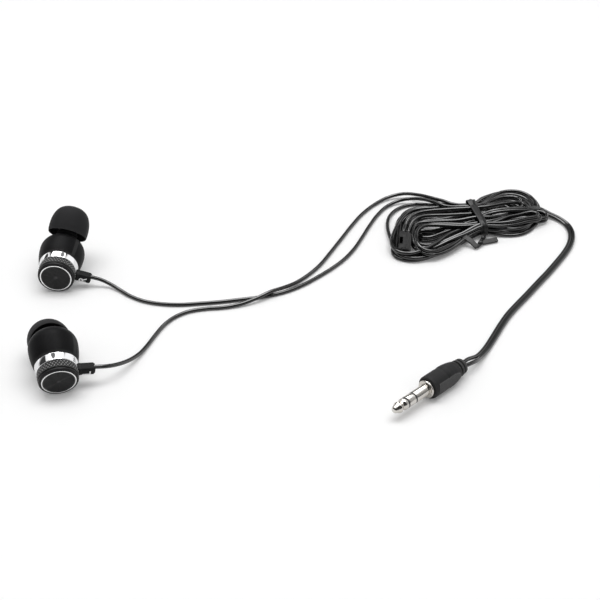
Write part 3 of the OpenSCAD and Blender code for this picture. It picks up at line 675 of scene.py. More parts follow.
class Hank:
    """Strands as particles that keep their length, their bend and their distance from each other."""

    def __init__(self, chains):
        self.at = np.vstack(chains)
        self.plan = self.at.copy()
        ends = np.cumsum([0] + [len(c) for c in chains])
        self.chains = list(zip(ends[:-1], ends[1:]))
        count = len(self.at)
        self.cord = np.zeros(count, int)
        self.place = np.zeros(count, int)
        self.free = np.ones(count)
        links, rests = [], []
        for k, (a, b) in enumerate(self.chains):
            self.cord[a:b] = max(0, k - 1)
            self.place[a:b] = np.arange(b - a)
            self.free[[a, a + 1, b - 2, b - 1]] = 0  # The ends stay where they leave the hank.
            links.append(np.arange(a, b - 1))
            gaps = np.linalg.norm(np.diff(self.at[a:b], axis=0), axis=1)
            rests.append(np.convolve(np.pad(gaps, 4, mode="edge"), np.ones(9) / 9, "valid"))
        first = np.concatenate(links)
        length = len(chains[0])
        pair = np.arange(length)
        slant = pair[:-1]
        gap = np.concatenate(rests)
        # The first two chains are the twin cord's conductors, tied across and along both diagonals.
        self.springs = (
            (first, first + 1, gap, STRAND_STIFF),
            (pair, pair + length, np.full(length, PAIR), PAIR_STIFF),
            (np.r_[slant, slant + 1], np.r_[slant + 1 + length, slant + length],
             np.full(2 * length - 2, math.hypot(gap[0], PAIR)), SLANT_STIFF),
        )

    def shares(self, i, j, pull):
        """What each link's pull moves its two particles by, summed, and how many links each has."""
        change = np.zeros_like(self.at)
        seen = np.zeros(len(self.at))
        both = self.free[i] + self.free[j]
        share = pull / np.where(both == 0, 1, both)[:, None]
        np.add.at(change, i, share * self.free[i][:, None])
        np.add.at(change, j, -share * self.free[j][:, None])
        np.add.at(seen, i, 1)
        np.add.at(seen, j, 1)
        return change, seen

    def keep_lengths(self):
        """Pulls each strand and the twin cord's pair back to length."""
        change, seen = np.zeros_like(self.at), np.zeros(len(self.at))
        for i, j, rest, stiff in self.springs:
            d = self.at[j] - self.at[i]
            size = np.linalg.norm(d, axis=1) + 1e-9
            moves, links = self.shares(i, j, (stiff * (size - rest) / size)[:, None] * d)
            change += moves
            seen += links
        self.at += change / np.maximum(seen, 1)[:, None] * LENGTH_GAIN

    def keep_bend(self):
        """Evens out the distance from the plan, so that a strand keeps its planned bend."""
        for a, b in self.chains:
            for reach, gain in BENDS:
                off = self.at[a:b] - self.plan[a:b]
                pull = ((off[:-2 * reach] + off[2 * reach:]) / 2 - off[reach:-reach]) * gain
                change = np.zeros_like(off)
                change[reach:-reach] += pull
                change[:-2 * reach] -= pull / 2
                change[2 * reach:] -= pull / 2
                self.at[a:b] += change * self.free[a:b, None]

    def find_near(self):
        """Lists the particles that may touch."""
        p = self.at.astype(np.float32)
        square = (p * p).sum(1)
        gap2 = square[:, None] + square[None] - 2 * p @ p.T
        i, j = np.nonzero(np.triu(gap2 < NEAR**2, 1))
        apart = (self.cord[i] != self.cord[j]) | (abs(self.place[i] - self.place[j]) > NEIGHBOURS)
        self.near = i[apart], j[apart]

    def keep_apart(self):
        """Pushes strands apart that are nearer than they can lie."""
        i, j = self.near
        d = self.at[j] - self.at[i]
        size = np.linalg.norm(d, axis=1) + 1e-9
        close = size < CLEAR
        i, j, d, size = i[close], j[close], d[close], size[close]
        change, seen = self.shares(i, j, ((size - CLEAR) / size)[:, None] * d)
        self.at += change / np.maximum(seen, 1)[:, None] * CLEAR_GAIN

    def squeeze(self, done):
        """The twist tie holds the strands to a rounded bundle, tighter as the rounds go on."""
        off = self.at[:, :2] - TIE_AT
        u, v = off @ TIE_U, off @ TIE_V
        ease = max(0.0, 1 - done * TIE_CLOSING)
        half, top = TIE_HALF + TIE_WIDER * ease, TIE_TOP + TIE_HIGHER * ease
        new_v, new_z = np.clip(v, -half, half), np.clip(self.at[:, 2], TIE_LOW, top)
        middle, tall = (TIE_LOW + top) / 2, (top - TIE_LOW) / 2
        out_v, out_z = (abs(new_v) - half + TIE_CORNER) / TIE_CORNER, (new_z - middle) / tall
        spread = np.hypot(out_v, out_z)
        corner = (out_v > 0) & (spread > 1)
        rounded = half - TIE_CORNER + TIE_CORNER * out_v / spread
        new_v = np.where(corner, np.sign(new_v) * rounded, new_v)
        new_z = np.where(corner, middle + tall * out_z / spread, new_z)
        held = (abs(u) < TIE_REACH) & (self.free > 0)
        self.at[held, :2] += ((new_v - v)[:, None] * TIE_V)[held]
        self.at[held, 2] = new_z[held]

    def clear_splitter(self):
        """Moves particles out of the splitter, by its nearest long side."""
        spin = np.array(SPLITTER_PLACE.to_3x3())
        local = (self.at - np.array(SPLITTER_PLACE.translation)) @ spin
        half = np.array(SPLITTER_SIZE) / 2 + STRAND_R - np.array(SPLITTER_SOFT)
        depth = half - abs(local)
        inside = (depth > 0).all(axis=1) & (self.free > 0)
        for k in np.nonzero(inside)[0]:
            axis = int(np.argmin(depth[k] + np.array([1.0, 0, 0])))
            self.at[k] += spin[:, axis] * (math.copysign(0.5, local[k, axis]) * depth[k, axis])

    def settle(self):
        """Lets the strands sink to the floor and onto each other, and gives each one's line."""
        for turn in range(ROUNDS):
            done = turn / ROUNDS
            if turn % LIST_EVERY == 0:
                self.find_near()
            self.at[:, 2] -= SAG * self.free * (1 if done < SAG_UNTIL else SAG_LEFT)
            hold = self.free[:, None] * HOLD * max(HOLD_LEFT, 1 - HOLD_FADE * done)
            self.at += (self.plan - self.at) * hold * np.array(HOLD_WAYS)
            for _ in range(LENGTH_PASSES):
                self.keep_lengths()
            self.keep_bend()
            for _ in range(CLEAR_PASSES):
                self.keep_apart()
                self.squeeze(done)
                self.clear_splitter()
                low = np.maximum(self.at[:, 2], STRAND_R + FLOOR_GAP)
                self.at[:, 2] = np.where(self.free > 0, low, self.at[:, 2])
        return [self.at[a:b] for a, b in self.chains]


def calmed(line):
    """Takes the last small steps out of a settled strand, keeps its wide bends as they are and
    opens those that are tighter than the cord can bend."""
    line = line.copy()
    for step in CALM_STEPS * CALM_ROUNDS:
        line[1:-1] += ((line[:-2] + line[2:]) / 2 - line[1:-1]) * step
    for _ in range(OPENING_ROUNDS):
        ahead = unit(np.diff(line, axis=0))
        sharp = (ahead[1:] * ahead[:-1]).sum(axis=1) < 1 - SHARP
        sharp[1:-1] |= sharp[:-2] | sharp[2:]
        line[1:-1] += ((line[:-2] + line[2:]) / 2 - line[1:-1]) * OPENING * sharp[:, None]
    return line


twin_a, twin_b = planned_twin()
leads_planned = [even_line(LEFT_LEAD_PLAN, STEP), even_line(RIGHT_LEAD_PLAN, STEP)]
strand_a, strand_b, left_turns, right_turns = Hank([twin_a, twin_b] + leads_planned).settle()

# ---------- Cords ----------

# Over the floor: each lead from its boot to where it comes off the hank, and the twin cord from the
# hank to the plug.
RIGHT_ROUTE = (
    (4.59, 19.69, 3.57), (7.4, 19.7, 2.65), (10.7, 18.7, 1.5), (14, 16.3, 0.8), (17.7, 12.9, 0.63),
    (22.1, 10.1, 0.63), (27.5, 8.4, 0.63), (33.9, 7.9, 0.63), (40.2, 8.6, 0.63), (46.5, 9.5, 0.63),
    (52.8, 10.8, 0.63), (58.5, 12.1, 0.63), (64, 13.9, 0.63), (68.6, 16.3, 0.63), (73, 19.7, 0.63),
    (77.7, 24.4, 0.63), (82.4, 29.7, 0.63), (86.8, 35.8, 0.63), (90.3, 42.5, 0.63), (93.2, 50, 0.63),
    (96.1, 58, 0.63), (99.4, 66, 0.63), (103.2, 72, 0.8), (107.7, 74.9, 1.4), (112.3, 74.5, 2.4),
    (116.4, 71.8, 3.4), (120.1, 68.4, 4.1), (123.2, 65.4, 4.2),
)
LEFT_ROUTE = (
    (12.6, -32.79, 5.78), (15.4, -31.9, 5.3), (18.3, -29.2, 4), (21.3, -24.7, 2.3), (23.9, -19.5, 1.1),
    (25.9, -14.1, 0.65), (27.8, -8.6, 0.63), (30, -3.3, 0.63), (32.9, 0.9, 0.63), (36.8, 3.9, 0.63),
    (42, 5.5, 0.63), (48, 6.3, 0.65), (53.5, 7.9, 0.95), (58.3, 10.3, 1.6), (62.5, 13.2, 2.1),
    (66.6, 16.6, 1.5), (70.4, 20.4, 0.85), (74.4, 25.4, 0.63), (78.4, 31.7, 0.63), (82.3, 40.3, 0.63),
    (86.2, 49.4, 0.63), (89.9, 58.1, 0.63), (93.9, 66.4, 0.63), (98.9, 73.6, 0.7), (104.2, 78, 1.2),
    (109.5, 79, 1.9), (114.6, 76.2, 2.9), (118.6, 72.5, 3.8), (122.6, 68.9, 4.5), (126.6, 65.4, 4.6),
)
MAIN_ROUTE = (
    (156.6, 66.3, 1.7), (159.6, 65, 1.3), (162.5, 62.6, 0.95), (164.7, 59, 0.7), (165.5, 54.6, 0.65),
    (165, 49.8, 0.65), (163.4, 44.6, 0.65), (161, 39.6, 0.65), (157.7, 33.9, 0.65), (153.6, 27.2, 0.65),
    (149.4, 20.8, 0.65), (145.2, 14.3, 0.65), (141, 8, 0.65), (137.2, 2, 0.65), (134, -4.2, 0.65),
    (130.9, -10.8, 0.65), (127.9, -16.9, 0.8), (124.9, -22.2, 1.7), (122, -26.2, 3.1),
    (119.41, -28.86, 3.49),
)
# Where the lead leaves the boot, in the earpiece's own axes.
BOOT_END, BOOT_Y, BOOT_Z = 10.9, -0.6, 4.3
# Distance between the points of a finished cord, and the sides of its round section.
FINE_STEP = 0.8
STRAND_SIDES = 14
# Near the plug the twin cord's web ends, and its conductors part over the same length.
PARTING, PARTED = 9.0, 0.45
WEB_SECTION = ((-0.3, -0.1), (0.3, -0.1), (0.3, 0.1), (-0.3, 0.1))


def boot_lead_point(side, x):
    return tuple(moved(ear_place(side), [(x, BOOT_Y, BOOT_Z)])[0])


def strand_tube(line):
    return round_tube(even_line(line, FINE_STEP), STRAND_R, STRAND_SIDES)


def lead_line(side, route, turns):
    """From inside the boot along the floor, then through the hank to the splitter."""
    start = [boot_lead_point(side, BOOT_END - 1.0), boot_lead_point(side, BOOT_END + 0.1)]
    outside = even_line(start + list(route[1:-1]), STEP)
    return even_line(np.vstack([outside, calmed(turns)[::-1][2:]]), FINE_STEP)


def build_lead(side, route, turns):
    line = lead_line(side, route, turns)
    name = SIDES[side] + "_lead"
    lead = piece(name + "_cord", round_tube(line, STRAND_R, STRAND_SIDES), "cord_jacket", replaces=[name])


def build_main_cord():
    """The twin cord's hank and tail as two conductors and a web, and the line between them."""
    a, b = calmed(strand_a), calmed(strand_b)
    tail = even_line(MAIN_ROUTE, STEP)[3:]
    side = carried_sides(tail, unit(a[-1] - b[-1]))
    run = along(tail)
    parting = np.clip((run - run[-1] + PARTING) / PARTING, 0, 1)
    half = (PAIR / 2 + PARTED * np.sin(parting * math.pi))[:, None]
    a, b = np.vstack([a[:-1], tail + side * half]), np.vstack([b[:-1], tail - side * half])
    middle, across = (a + b) / 2, unit(a - b)
    web_end = int(len(middle) * (1 - PARTING / along(middle)[-1]))
    web = swept(middle[:web_end], across[:web_end], WEB_SECTION)
    cord = piece("twin_cord", joined(strand_tube(a), strand_tube(b), web), "cord_jacket",
                 replaces=["cord_hank", "main_cord"])
    return cord, even_line(middle, FINE_STEP)


build_lead(RIGHT, RIGHT_ROUTE, right_turns)
build_lead(LEFT, LEFT_ROUTE, left_turns)
twin_cord, twin_middle = build_main_cord()

# ---------- Twist tie ----------

# Across and up: thin wings and the wire's ridge along the middle.
RIBBON = ((-1.2, -0.09), (-0.45, -0.12), (0, -0.16), (0.45, -0.12), (1.2, -0.09), (1.25, 0),
          (1.2, 0.09), (0.45, 0.12), (0.3, 0.22), (0, 0.30), (-0.3, 0.22), (-0.45, 0.12),
          (-1.2, 0.09), (-1.25, 0))
# The strap lies this far off the strands and no lower than this, round those strands that pass
# within its reach of the tie's middle.
STRAP_OFF, STRAP_LOW, STRAP_REACH = 0.12, 0.18, 1.6
# The hump where the strap turns over: how far it stands out across and up, and how much wider.
HUMP_OUT, HUMP_UP, HUMP_WIDER = 0.35, 0.75, 0.2


def hull_of(points):
    """The outline round a set of flat points."""
    p = sorted(map(tuple, points))

    def half(run):
        out = []
        for q in run:
            while len(out) > 1 and ((out[-1][0] - out[-2][0]) * (q[1] - out[-2][1])
                                    - (out[-1][1] - out[-2][1]) * (q[0] - out[-2][0])) <= 0:
                out.pop()
            out.append(q)
        return out[:-1]

    return np.array(half(p) + half(p[::-1]))


def tie_loop():
    """The strap's line round the bundle, in the upright plane of the tie."""
    strands = np.vstack([strand_a, strand_b, left_turns, right_turns])
    off = strands[:, :2] - TIE_AT
    held = abs(off @ TIE_U) < STRAP_REACH
    flat = np.stack([(off @ TIE_V)[held], strands[held, 2]], axis=1)
    rim = round_section(STRAND_R + STRAP_OFF, 20)
    outline = hull_of((flat[:, None] + rim[None]).reshape(-1, 2))
    outline = np.vstack([outline, outline[:1]])
    line = resampled(outline, 0.35)[:-1]
    for _ in range(10):
        line += ((np.roll(line, 1, 0) + np.roll(line, -1, 0)) / 2 - line) * 0.5
    line[:, 1] = np.maximum(line[:, 1], STRAP_LOW)
    return np.array([in_tie(v, z) for v, z in line])


# The bars at the strap's ends, grooved along the top.
TIE_BAR = ((-0.80, -0.42), (0.80, -0.42), (0.88, -0.3), (0.88, 0.28), (0.80, 0.4), (0.64, 0.43),
           (0.5, 0.18), (0.36, 0.43), (0.14, 0.43), (0, 0.18), (-0.14, 0.43), (-0.36, 0.43),
           (-0.5, 0.18), (-0.64, 0.43), (-0.80, 0.4), (-0.88, 0.28), (-0.88, -0.3))
# Each bar's line and its roll about it in degrees.
TIE_ENDS = (
    (((132.0, 42.9, 0.9), (131.2, 43.6, 1.4), (129.7, 44.9, 2.3), (127.0, 47.1, 3.15)), -20),
    (((133.7, 46.1, 0.95), (135.4, 46.7, 0.95), (137.4, 47.4, 0.95), (139.3, 48.1, 0.95)), 28),
)
BAR_END_SIZE = 0.86
NECK = ((135.6, 51.0, 1.2), (134.9, 48.9, 1.5), (133.9, 46.6, 1.3), (132.8, 44.4, 1.1))
NECK_TURNS = 1.1
# The two ribbons of the neck: how far each lies off its line, and their size.
NECK_OFF, NECK_SIZE = 0.28, 0.7
KNOT = ((132.0, 43.3, 1.0), (132.9, 44.6, 0.95), (133.9, 46.2, 0.95))
KNOT_R = 0.6


def strap():
    """The strap round the bundle, with a hump where it turns over on the far side."""
    loop = tie_loop()
    sides = np.tile(np.append(TIE_U, 0.0), (len(loop), 1))
    turn_over = loop[:, 2] + (loop[:, :2] - TIE_AT) @ TIE_V * 0.6
    hump = np.exp(-((turn_over.max() - turn_over) / 0.9)**2)
    loop += hump[:, None] * np.array([*(TIE_V * HUMP_OUT), HUMP_UP])
    return swept(loop, sides, RIBBON, 1 + HUMP_WIDER * hump, closed=True)


def twisted_neck():
    """The strap's two ends twisted round each other, from the bundle to the knot."""
    line = even_line(NECK, 0.25)
    base = carried_sides(line, (1, 0, 0.2))
    spin = np.linspace(0, NECK_TURNS * 2 * math.pi, len(line))[:, None]
    side = base * np.cos(spin) + np.cross(headings(line), base) * np.sin(spin)
    off = np.cross(headings(line), side) * NECK_OFF
    return [swept(line + way * off, side, RIBBON, np.full(len(line), NECK_SIZE)) for way in (1, -1)]


def tie_bar(points, roll):
    line = even_line(points, 0.3)
    flat = unit(np.cross(headings(line), (0, 0, 1.0)))
    turn = math.radians(roll)
    sizes = np.ones(len(line))
    sizes[[0, -1]] = BAR_END_SIZE
    side = flat * math.cos(turn) + np.cross(headings(line), flat) * math.sin(turn)
    return swept(line, side, TIE_BAR, sizes)


def build_tie():
    line = even_line(KNOT, 0.3)
    knot = swept(line, np.tile((0.5, -0.5, 0.7), (len(line), 1)), round_section(KNOT_R, 12))
    bars = [tie_bar(*end) for end in TIE_ENDS]
    return piece("tie_ribbon", joined(strap(), *twisted_neck(), *bars, knot), "tie_plastic",
                 replaces=["twist_tie"], crease=50)


tie = build_tie()

# ---------- Y splitter ----------

# Towards each end, x and the section's size there.
SPLITTER_ENDS = ((4.1, 1.0), (4.35, 0.96), (4.52, 0.89), (4.6, 0.8))
SPLITTER_TOP = 1.3
# The recess in the top, from and to along x, its depth and the slope of its ends.
RECESS_FROM, RECESS_TO, RECESS_DEPTH, RECESS_SLOPE = -1.9, 1.6, 2.1, 0.05
# The facet from its upper edge to its lower one, with two grooves: share of the way, and depth.
FACET_TOP, FACET_RUN, FACET_OUT = (-0.75, 1.24), (-1.35, -0.79), (0.5, -0.86)
FACET = ((0, 0), (0.3, 0), (0.36, 0.1), (0.44, 0.1), (0.5, 0), (0.68, 0), (0.74, 0.1), (0.82, 0.1),
         (0.88, 0), (1, 0))
# The noses round the cords: x, y, height above the middle and radius.
NOSES = ((4.75, 0.85, 0, 1.0), (4.75, -0.85, 0, 1.0), (-4.75, 0, 0.15, 1.7))


def splitter_section(deep):
    """Across and up: a soft block, the right top edge cut to a grooved facet, a recess on the left."""
    facet = [tuple(a + b * share + c * depth for a, b, c in zip(FACET_TOP, FACET_RUN, FACET_OUT))
             for share, depth in FACET]
    bottom = SPLITTER_TOP - deep
    return [(-1.7, -1.3), (1.7, -1.3), (2.0, -1.15), (2.1, -0.8), (2.1, 0.8), (2.02, 1.12),
            (1.8, SPLITTER_TOP), (1.76, bottom), (0.8, bottom), (0.74, SPLITTER_TOP),
            (-0.5, SPLITTER_TOP)] + facet + [(-2.1, -0.8), (-2.0, -1.15)]


def splitter_body():
    stations = [(-x, size, 0) for x, size in SPLITTER_ENDS[::-1]]
    stations += [(RECESS_FROM - RECESS_SLOPE, 1.0, 0), (RECESS_FROM, 1.0, RECESS_DEPTH),
                 (RECESS_TO, 1.0, RECESS_DEPTH), (RECESS_TO + RECESS_SLOPE, 1.0, 0)]
    stations += [(x, size, 0) for x, size in SPLITTER_ENDS]
    return skinned([[(x, y * size, z * size) for y, z in splitter_section(deep)]
                    for x, size, deep in stations])


def splitter_nose(x, y, z, wide):
    profile = eased([(0, -0.7), (wide * 0.95, -0.7), (wide, 0.3), (wide * 0.8, 0.75), (0, 0.75)], 0.2)
    outwards = rotate("Y", 90 if x > 0 else -90)
    return placed(shift(x, y, z) @ outwards, lathed(profile, 32))


# The facet, which is painted lighter than the rest of the block: a painted highlight.
def on_facet(local):
    return (local[:, 1] < -0.6) & (local[:, 2] > 0.3) & (abs(local[:, 0]) < 4.7)


def build_splitter():
    """A moulded block with a grooved facet, a recess and a nose where each cord leaves. The facet carries a
    painted highlight.
    """
    shell = joined(splitter_body(), *[splitter_nose(*nose) for nose in NOSES])
    block = piece("splitter_block", placed(SPLITTER_PLACE, shell), "splitter_rubber",
                  replaces=["y_splitter"])
    # The facet takes a painted highlight, lighter than the block, where its gloss catches the light.
    painted_highlight(block, SPLITTER_PLACE, on_facet)


build_splitter()

# ---------- Earpieces ----------

KNURL_R, KNURL_TEETH = 5.9, 38
KNURL_FROM, KNURL_TO = 1.3, 3.62
KNURL_ROOT, KNURL_DEPTH = 5.8, 0.19
# How fast the helical grooves climb, and over what height the knurl dies out at either end.
KNURL_CLIMB, KNURL_FADE = 0.8, 0.15
# Profiles are (radius, z), with z from the rear face towards the tip.
DISC = np.vstack([eased([(0.01, 0.15), (4.68, 0.15), (4.68, 0.65), (4.08, 0.95), (0.01, 0.95)], 0.05)[::-1],
                  [(r, 0.15) for r in (0.5, 1.1, 1.8, 2.5, 3.2, 3.9, 4.4)]])
BEZEL = eased([(4.71, 0.65), (4.71, 0.04), (4.75, 0), (5.01, 0), (5.05, 0.04), (5.05, 0.65)], 0.02)
CAP_FRONT = [(4.9, 3.7), (4.9, 1.2), (0.5, 1.2), (0.5, 0.96), (4.2, 0.96), (5.08, 0.66)]
CAP_RIM = eased([(5.08, 0.66), (5.08, 0.4), (5.22, 0.4), (5.26, 0.1), (5.5, 0.1), (5.78, 0.42),
                 (5.85, 0.85), (5.6, 0.95), (5.6, 1.12), (5.86, 1.2), (5.88, KNURL_FROM)], 0.06,
                closed=False)
CAP_END = ((5.86, 3.66), (5.8, 3.7))
BAND = eased([(5.43, 3.73), (5.93, 3.73), (6.05, 3.85), (6.31, 6.02), (6.19, 6.17), (5.43, 6.17)], 0.08)


def tooth_wave(turns):
    """A wave with rounded tops and sharp roots, 0 to 1."""
    return np.abs(np.sin(turns * math.pi))


def knurled_cap():
    """The cap: plain rim and groove, then a diamond knurl cut by crossing helical grooves."""
    per_tooth, rows = 10, 44
    steps = KNURL_TEETH * per_tooth
    plain = np.vstack([CAP_FRONT[:-1], CAP_RIM])
    z = np.linspace(KNURL_FROM, KNURL_TO, rows)
    turn = np.arange(steps) / steps
    tooth = (turn * KNURL_TEETH)[None]
    pitch = 2 * math.pi * KNURL_R / KNURL_TEETH
    climb = (z[:, None] - KNURL_FROM) / pitch * KNURL_CLIMB
    height = np.minimum(tooth_wave(tooth + climb), tooth_wave(tooth - climb))
    fade = np.clip(np.minimum(z - KNURL_FROM, KNURL_TO - z) / KNURL_FADE, 0, 1)[:, None]
    radius = KNURL_ROOT + KNURL_DEPTH * height * fade
    end = np.array(CAP_END)
    radii = np.vstack([np.repeat(plain[:, :1], steps, 1), radius, np.repeat(end[:, :1], steps, 1)])
    heights = np.concatenate([plain[:, 1], z, end[:, 1]])
    points = np.stack([radii * np.cos(turn * 2 * math.pi), radii * np.sin(turn * 2 * math.pi),
                       np.repeat(heights[:, None], steps, 1)], axis=2)
    return points.reshape(-1, 3), grid_faces(len(heights), steps, closed=True)


def knurl_tips(local):
    """Rises to 1 at the tips of the knurl, and is 0 at its roots and off it. The tips take a painted
    highlight.
    """
    height = (np.hypot(local[:, 0], local[:, 1]) - KNURL_ROOT) / KNURL_DEPTH
    on_knurl = (local[:, 2] > KNURL_FROM) & (local[:, 2] < KNURL_TO)
    return np.where(on_knurl, np.clip(height, 0, 1)**3, 0)


# The housing swells in a wide arc of radius FLARE from its rim to its shoulder.
HOUSING_R, HOUSING_RIM_R = 7.3, 6.33
HOUSING_RIM, SHOULDER = 6.2, 12.6
FLARE = 24.0
SHOULDER_R, HOUSING_WALL = 4.8, 0.9
# The hole in the housing's face, where the nozzle stands.
FACE_HOLE_R = 0.4


def housing_shell():
    """The front housing: rim, flare and round shoulder outside, and an even wall at the shoulder."""
    middle = HOUSING_R - SHOULDER_R
    rim_angle = 1.0 - math.degrees(math.asin((SHOULDER - HOUSING_RIM) / FLARE))
    inner = SHOULDER_R - HOUSING_WALL
    profile = [[(HOUSING_RIM_R, HOUSING_RIM)],
               arc(HOUSING_R - FLARE, SHOULDER, FLARE, rim_angle, 0, 16),
               arc(middle, SHOULDER, SHOULDER_R, 4, 90, 26),
               [(FACE_HOLE_R, SHOULDER + SHOULDER_R), (FACE_HOLE_R, SHOULDER + inner)],
               arc(middle, SHOULDER, inner, 90, 0, 12),
               [(5.7, 12.0), (5.4, 11.5), (5.4, HOUSING_RIM)]]
    return lathed(np.vstack(profile), 160)


# The nozzle's and the tip's profiles go along the nozzle, with z from its pivot.
NOZZLE = eased([(1.75, 3.0), (3.4, 3.0), (3.4, 6.9), (3.1, 7.3), (2.45, 7.45), (2.45, 11.5),
                (2.65, 11.8), (2.65, 12.6), (2.35, 13.0), (1.75, 13.0)], 0.12)


def tip_shell(push):
    """The silicone dome, its open skirt and the core that grips the nozzle, pushed on by push."""
    dome = even_line([(6.25, 6.5), (6.4, 7.1), (6.45, 8), (6.43, 9.5), (6.25, 11), (5.85, 12.5),
                      (5.15, 13.9), (4.3, 14.85), (3.4, 15.45), (2.8, 15.7), (2.4, 15.8)], 0.3)
    core = [(2.15, 15.72), (2.0, 15.5), (2.0, 13.1 + push), (2.7, 13.1 + push), (2.7, 8.05 + push),
            (2.75, 8.0 + push), (3.35, 8.0 + push)]
    under = even_line([(3.4, 8.1 + push), (3.45, 12.3), (4.1, 12.9), (4.8, 12.6), (5.3, 11.6),
                       (5.65, 10.3), (5.8, 8.9), (5.9, 7.6), (5.98, 6.6)], 0.3)
    return lathed(np.vstack([dome, core, under, [(6.05, 6.48), (6.15, 6.46)]]), 160)


def rounded_square(width, radius):
    inner = width / 2 - radius
    corners = [arc(sx * inner, sy * inner, radius, start, start + 90, 5)
               for sx, sy, start in ((1, 1, 0), (-1, 1, 90), (-1, -1, 180), (1, -1, 270))]
    return np.vstack(corners)


def square_bar(stations):
    """A rounded square bar along x, given (x, width, corner radius) stations."""
    squares = [(x, rounded_square(width, radius)) for x, width, radius in stations]
    return skinned([np.c_[np.full(len(square), x), square] for x, square in squares])


# The boot out from the housing: x, width and corner radius, with a collar, and a step at its end.
BOOT_WIDE = 2.74
BOOT_STATIONS = ((4.9, BOOT_WIDE, 0.5), (6.3, BOOT_WIDE, 0.5), (6.32, 2.84, 0.55), (6.38, 2.9, 0.6),
                 (6.68, 2.9, 0.6), (6.74, 2.84, 0.55), (6.76, BOOT_WIDE, 0.5), (10.3, BOOT_WIDE, 0.5),
                 (10.5, 2.7, 0.5), (10.6, 2.56, 0.45), (10.62, 2.3, 0.42), (10.84, 2.3, 0.42),
                 (BOOT_END, 2.2, 0.4))
# The channel letter: its height, thickness and boldness, and its place along and across the boot and
# off its face.
LETTER_SIZE, LETTER_THICK, LETTER_BOLD = 3.4, 0.012, 0.05
LETTER_X, LETTER_Y, LETTER_OFF = 8.5, 0.45, 0.015


def channel_mark(side):
    """The channel letter printed on the boot, along it, on the face that looks backwards."""
    curve = bpy.data.curves.new("letter", "FONT")
    curve.body = "RL"[side]
    curve.size = LETTER_SIZE
    curve.extrude = LETTER_THICK
    curve.offset = LETTER_BOLD
    curve.align_x, curve.align_y = "CENTER", "CENTER"
    text = bpy.data.objects.new("letter", curve)
    scene.collection.objects.link(text)
    mesh = text.to_mesh()
    points = np.array([v.co[:] for v in mesh.vertices])
    faces = [tuple(p.vertices) for p in mesh.polygons]
    bpy.data.objects.remove(text)
    face = shift(LETTER_X, LETTER_Y, BOOT_Z - BOOT_WIDE / 2 - LETTER_OFF)
    return placed(ear_place(side) @ face @ rotate("Y", 180) @ rotate("Z", -90), (points, faces))


def build_earpiece(side):
    name = SIDES[side] + "_"
    ear, nozzle = ear_place(side), nozzle_place(side)
    boot = ear @ shift(0, 0, BOOT_Z)
    tip = nozzle @ shift(0, 0, -TIP_PUSH[side])
    piece(name + "disc_face", placed(ear, lathed(DISC, 96)), "disc_face", replaces=[name + "end_disc"])
    piece(name + "bright_rim", placed(ear, lathed(BEZEL, 128)), "bright_ring",
          replaces=[name + "bezel_ring"])
    cap = piece(name + "knurled_cap", placed(ear, knurled_cap()), "cap_plastic",
                replaces=[name + "rear_cap"])
    # The knurl's tips are painted lighter: a painted highlight standing in for the glints on its teeth.
    painted_highlight(cap, ear, knurl_tips)
    piece(name + "polished_band", placed(ear, lathed(BAND, 192)), "chrome",
          replaces=[name + "chrome_band"])
    shell = joined(placed(ear, housing_shell()), placed(nozzle, lathed(NOZZLE, 96)))
    piece(name + "housing_shell", shell, "housing_plastic", replaces=[name + "front_housing"])
    piece(name + "silicone_tip", placed(tip, tip_shell(TIP_PUSH[side])), "tip_silicone",
          body=name + "tip", replaces=[name + "ear_tip"])
    piece(name + "square_boot", placed(boot, square_bar(BOOT_STATIONS)), "boot_rubber",
          replaces=[name + "cord_boot"])
    piece(name + "channel_mark", channel_mark(side), "print_white")


for side in (RIGHT, LEFT):
    build_earpiece(side)

# ---------- Plug ----------

SLEEVE = eased([(0, -0.9), (2.5, -0.95), (2.7, -0.75), (2.7, -0.1), (2.5, 0.0), (1.85, 0.0), (1.75, 0.12),
                (1.75, 5.38), (1.7, 5.4), (0, 5.4)], 0.08)
RING_INSULATOR = [(0, 5.4), (1.72, 5.4), (1.72, 5.92), (0, 5.92)]
RING = eased([(0, 5.92), (1.7, 5.92), (1.75, 5.96), (1.75, 8.54), (1.7, 8.58), (0, 8.58)], 0.03)
TIP_INSULATOR = [(0, 8.58), (1.72, 8.58), (1.72, 9.1), (0, 9.1)]
TIP = eased([(0, 9.1), (1.75, 9.1), (1.75, 10.0), (1.3, 10.7), (1.3, 11.0), (1.68, 11.7), (1.68, 12.0),
             (0.95, 13.65), (0.6, 13.92), (0, 14.0)], 0.12)
GRIP = [(2.6, -0.88), (3.05, -0.9), (3.4, -1.1), (3.5, -1.5), (3.5, -6.2), (3.4, -7.2), (3.55, -8.3),
        (3.5, -9.6), (3.25, -11.4), (2.9, -12.9), (2.66, -13.5), (1.8, -13.55), (1.8, -14.15),
        (2.6, -14.2), (2.55, -14.9), (1.75, -14.95), (1.75, -15.5), (2.47, -15.6), (2.35, -16.4),
        (2.0, -16.8), (0.2, -16.8)]
# The grip's flat panels: half the distance between them, where they begin and end, over what length
# they run out, and the height and pitch of their ribs.
PANEL_FLAT = 3.02
PANEL_FROM, PANEL_TO, PANEL_FADE = -12.6, -2.4, 0.5
RIB, RIB_PITCH = 0.09, 0.62


def ribbed_grip():
    """The moulded grip: waisted, grooved at the cord end, with a flat ribbed panel on each side."""
    outline = resampled(eased(GRIP, 0.12, closed=False), 0.09)
    steps = 128
    angle = np.arange(steps) * 2 * math.pi / steps
    rings = []
    for radius, z in outline:
        x, y = radius * np.cos(angle), radius * np.sin(angle)
        on_panel = np.clip(min(PANEL_TO - z, z - PANEL_FROM) / PANEL_FADE, 0, 1)
        flat = PANEL_FLAT + RIB * math.sin(z * 2 * math.pi / RIB_PITCH)
        level = radius + (flat - radius) * on_panel
        rings.append(np.stack([x, np.clip(y, -level, level), np.full(steps, z)], axis=1))
    return skinned(rings)


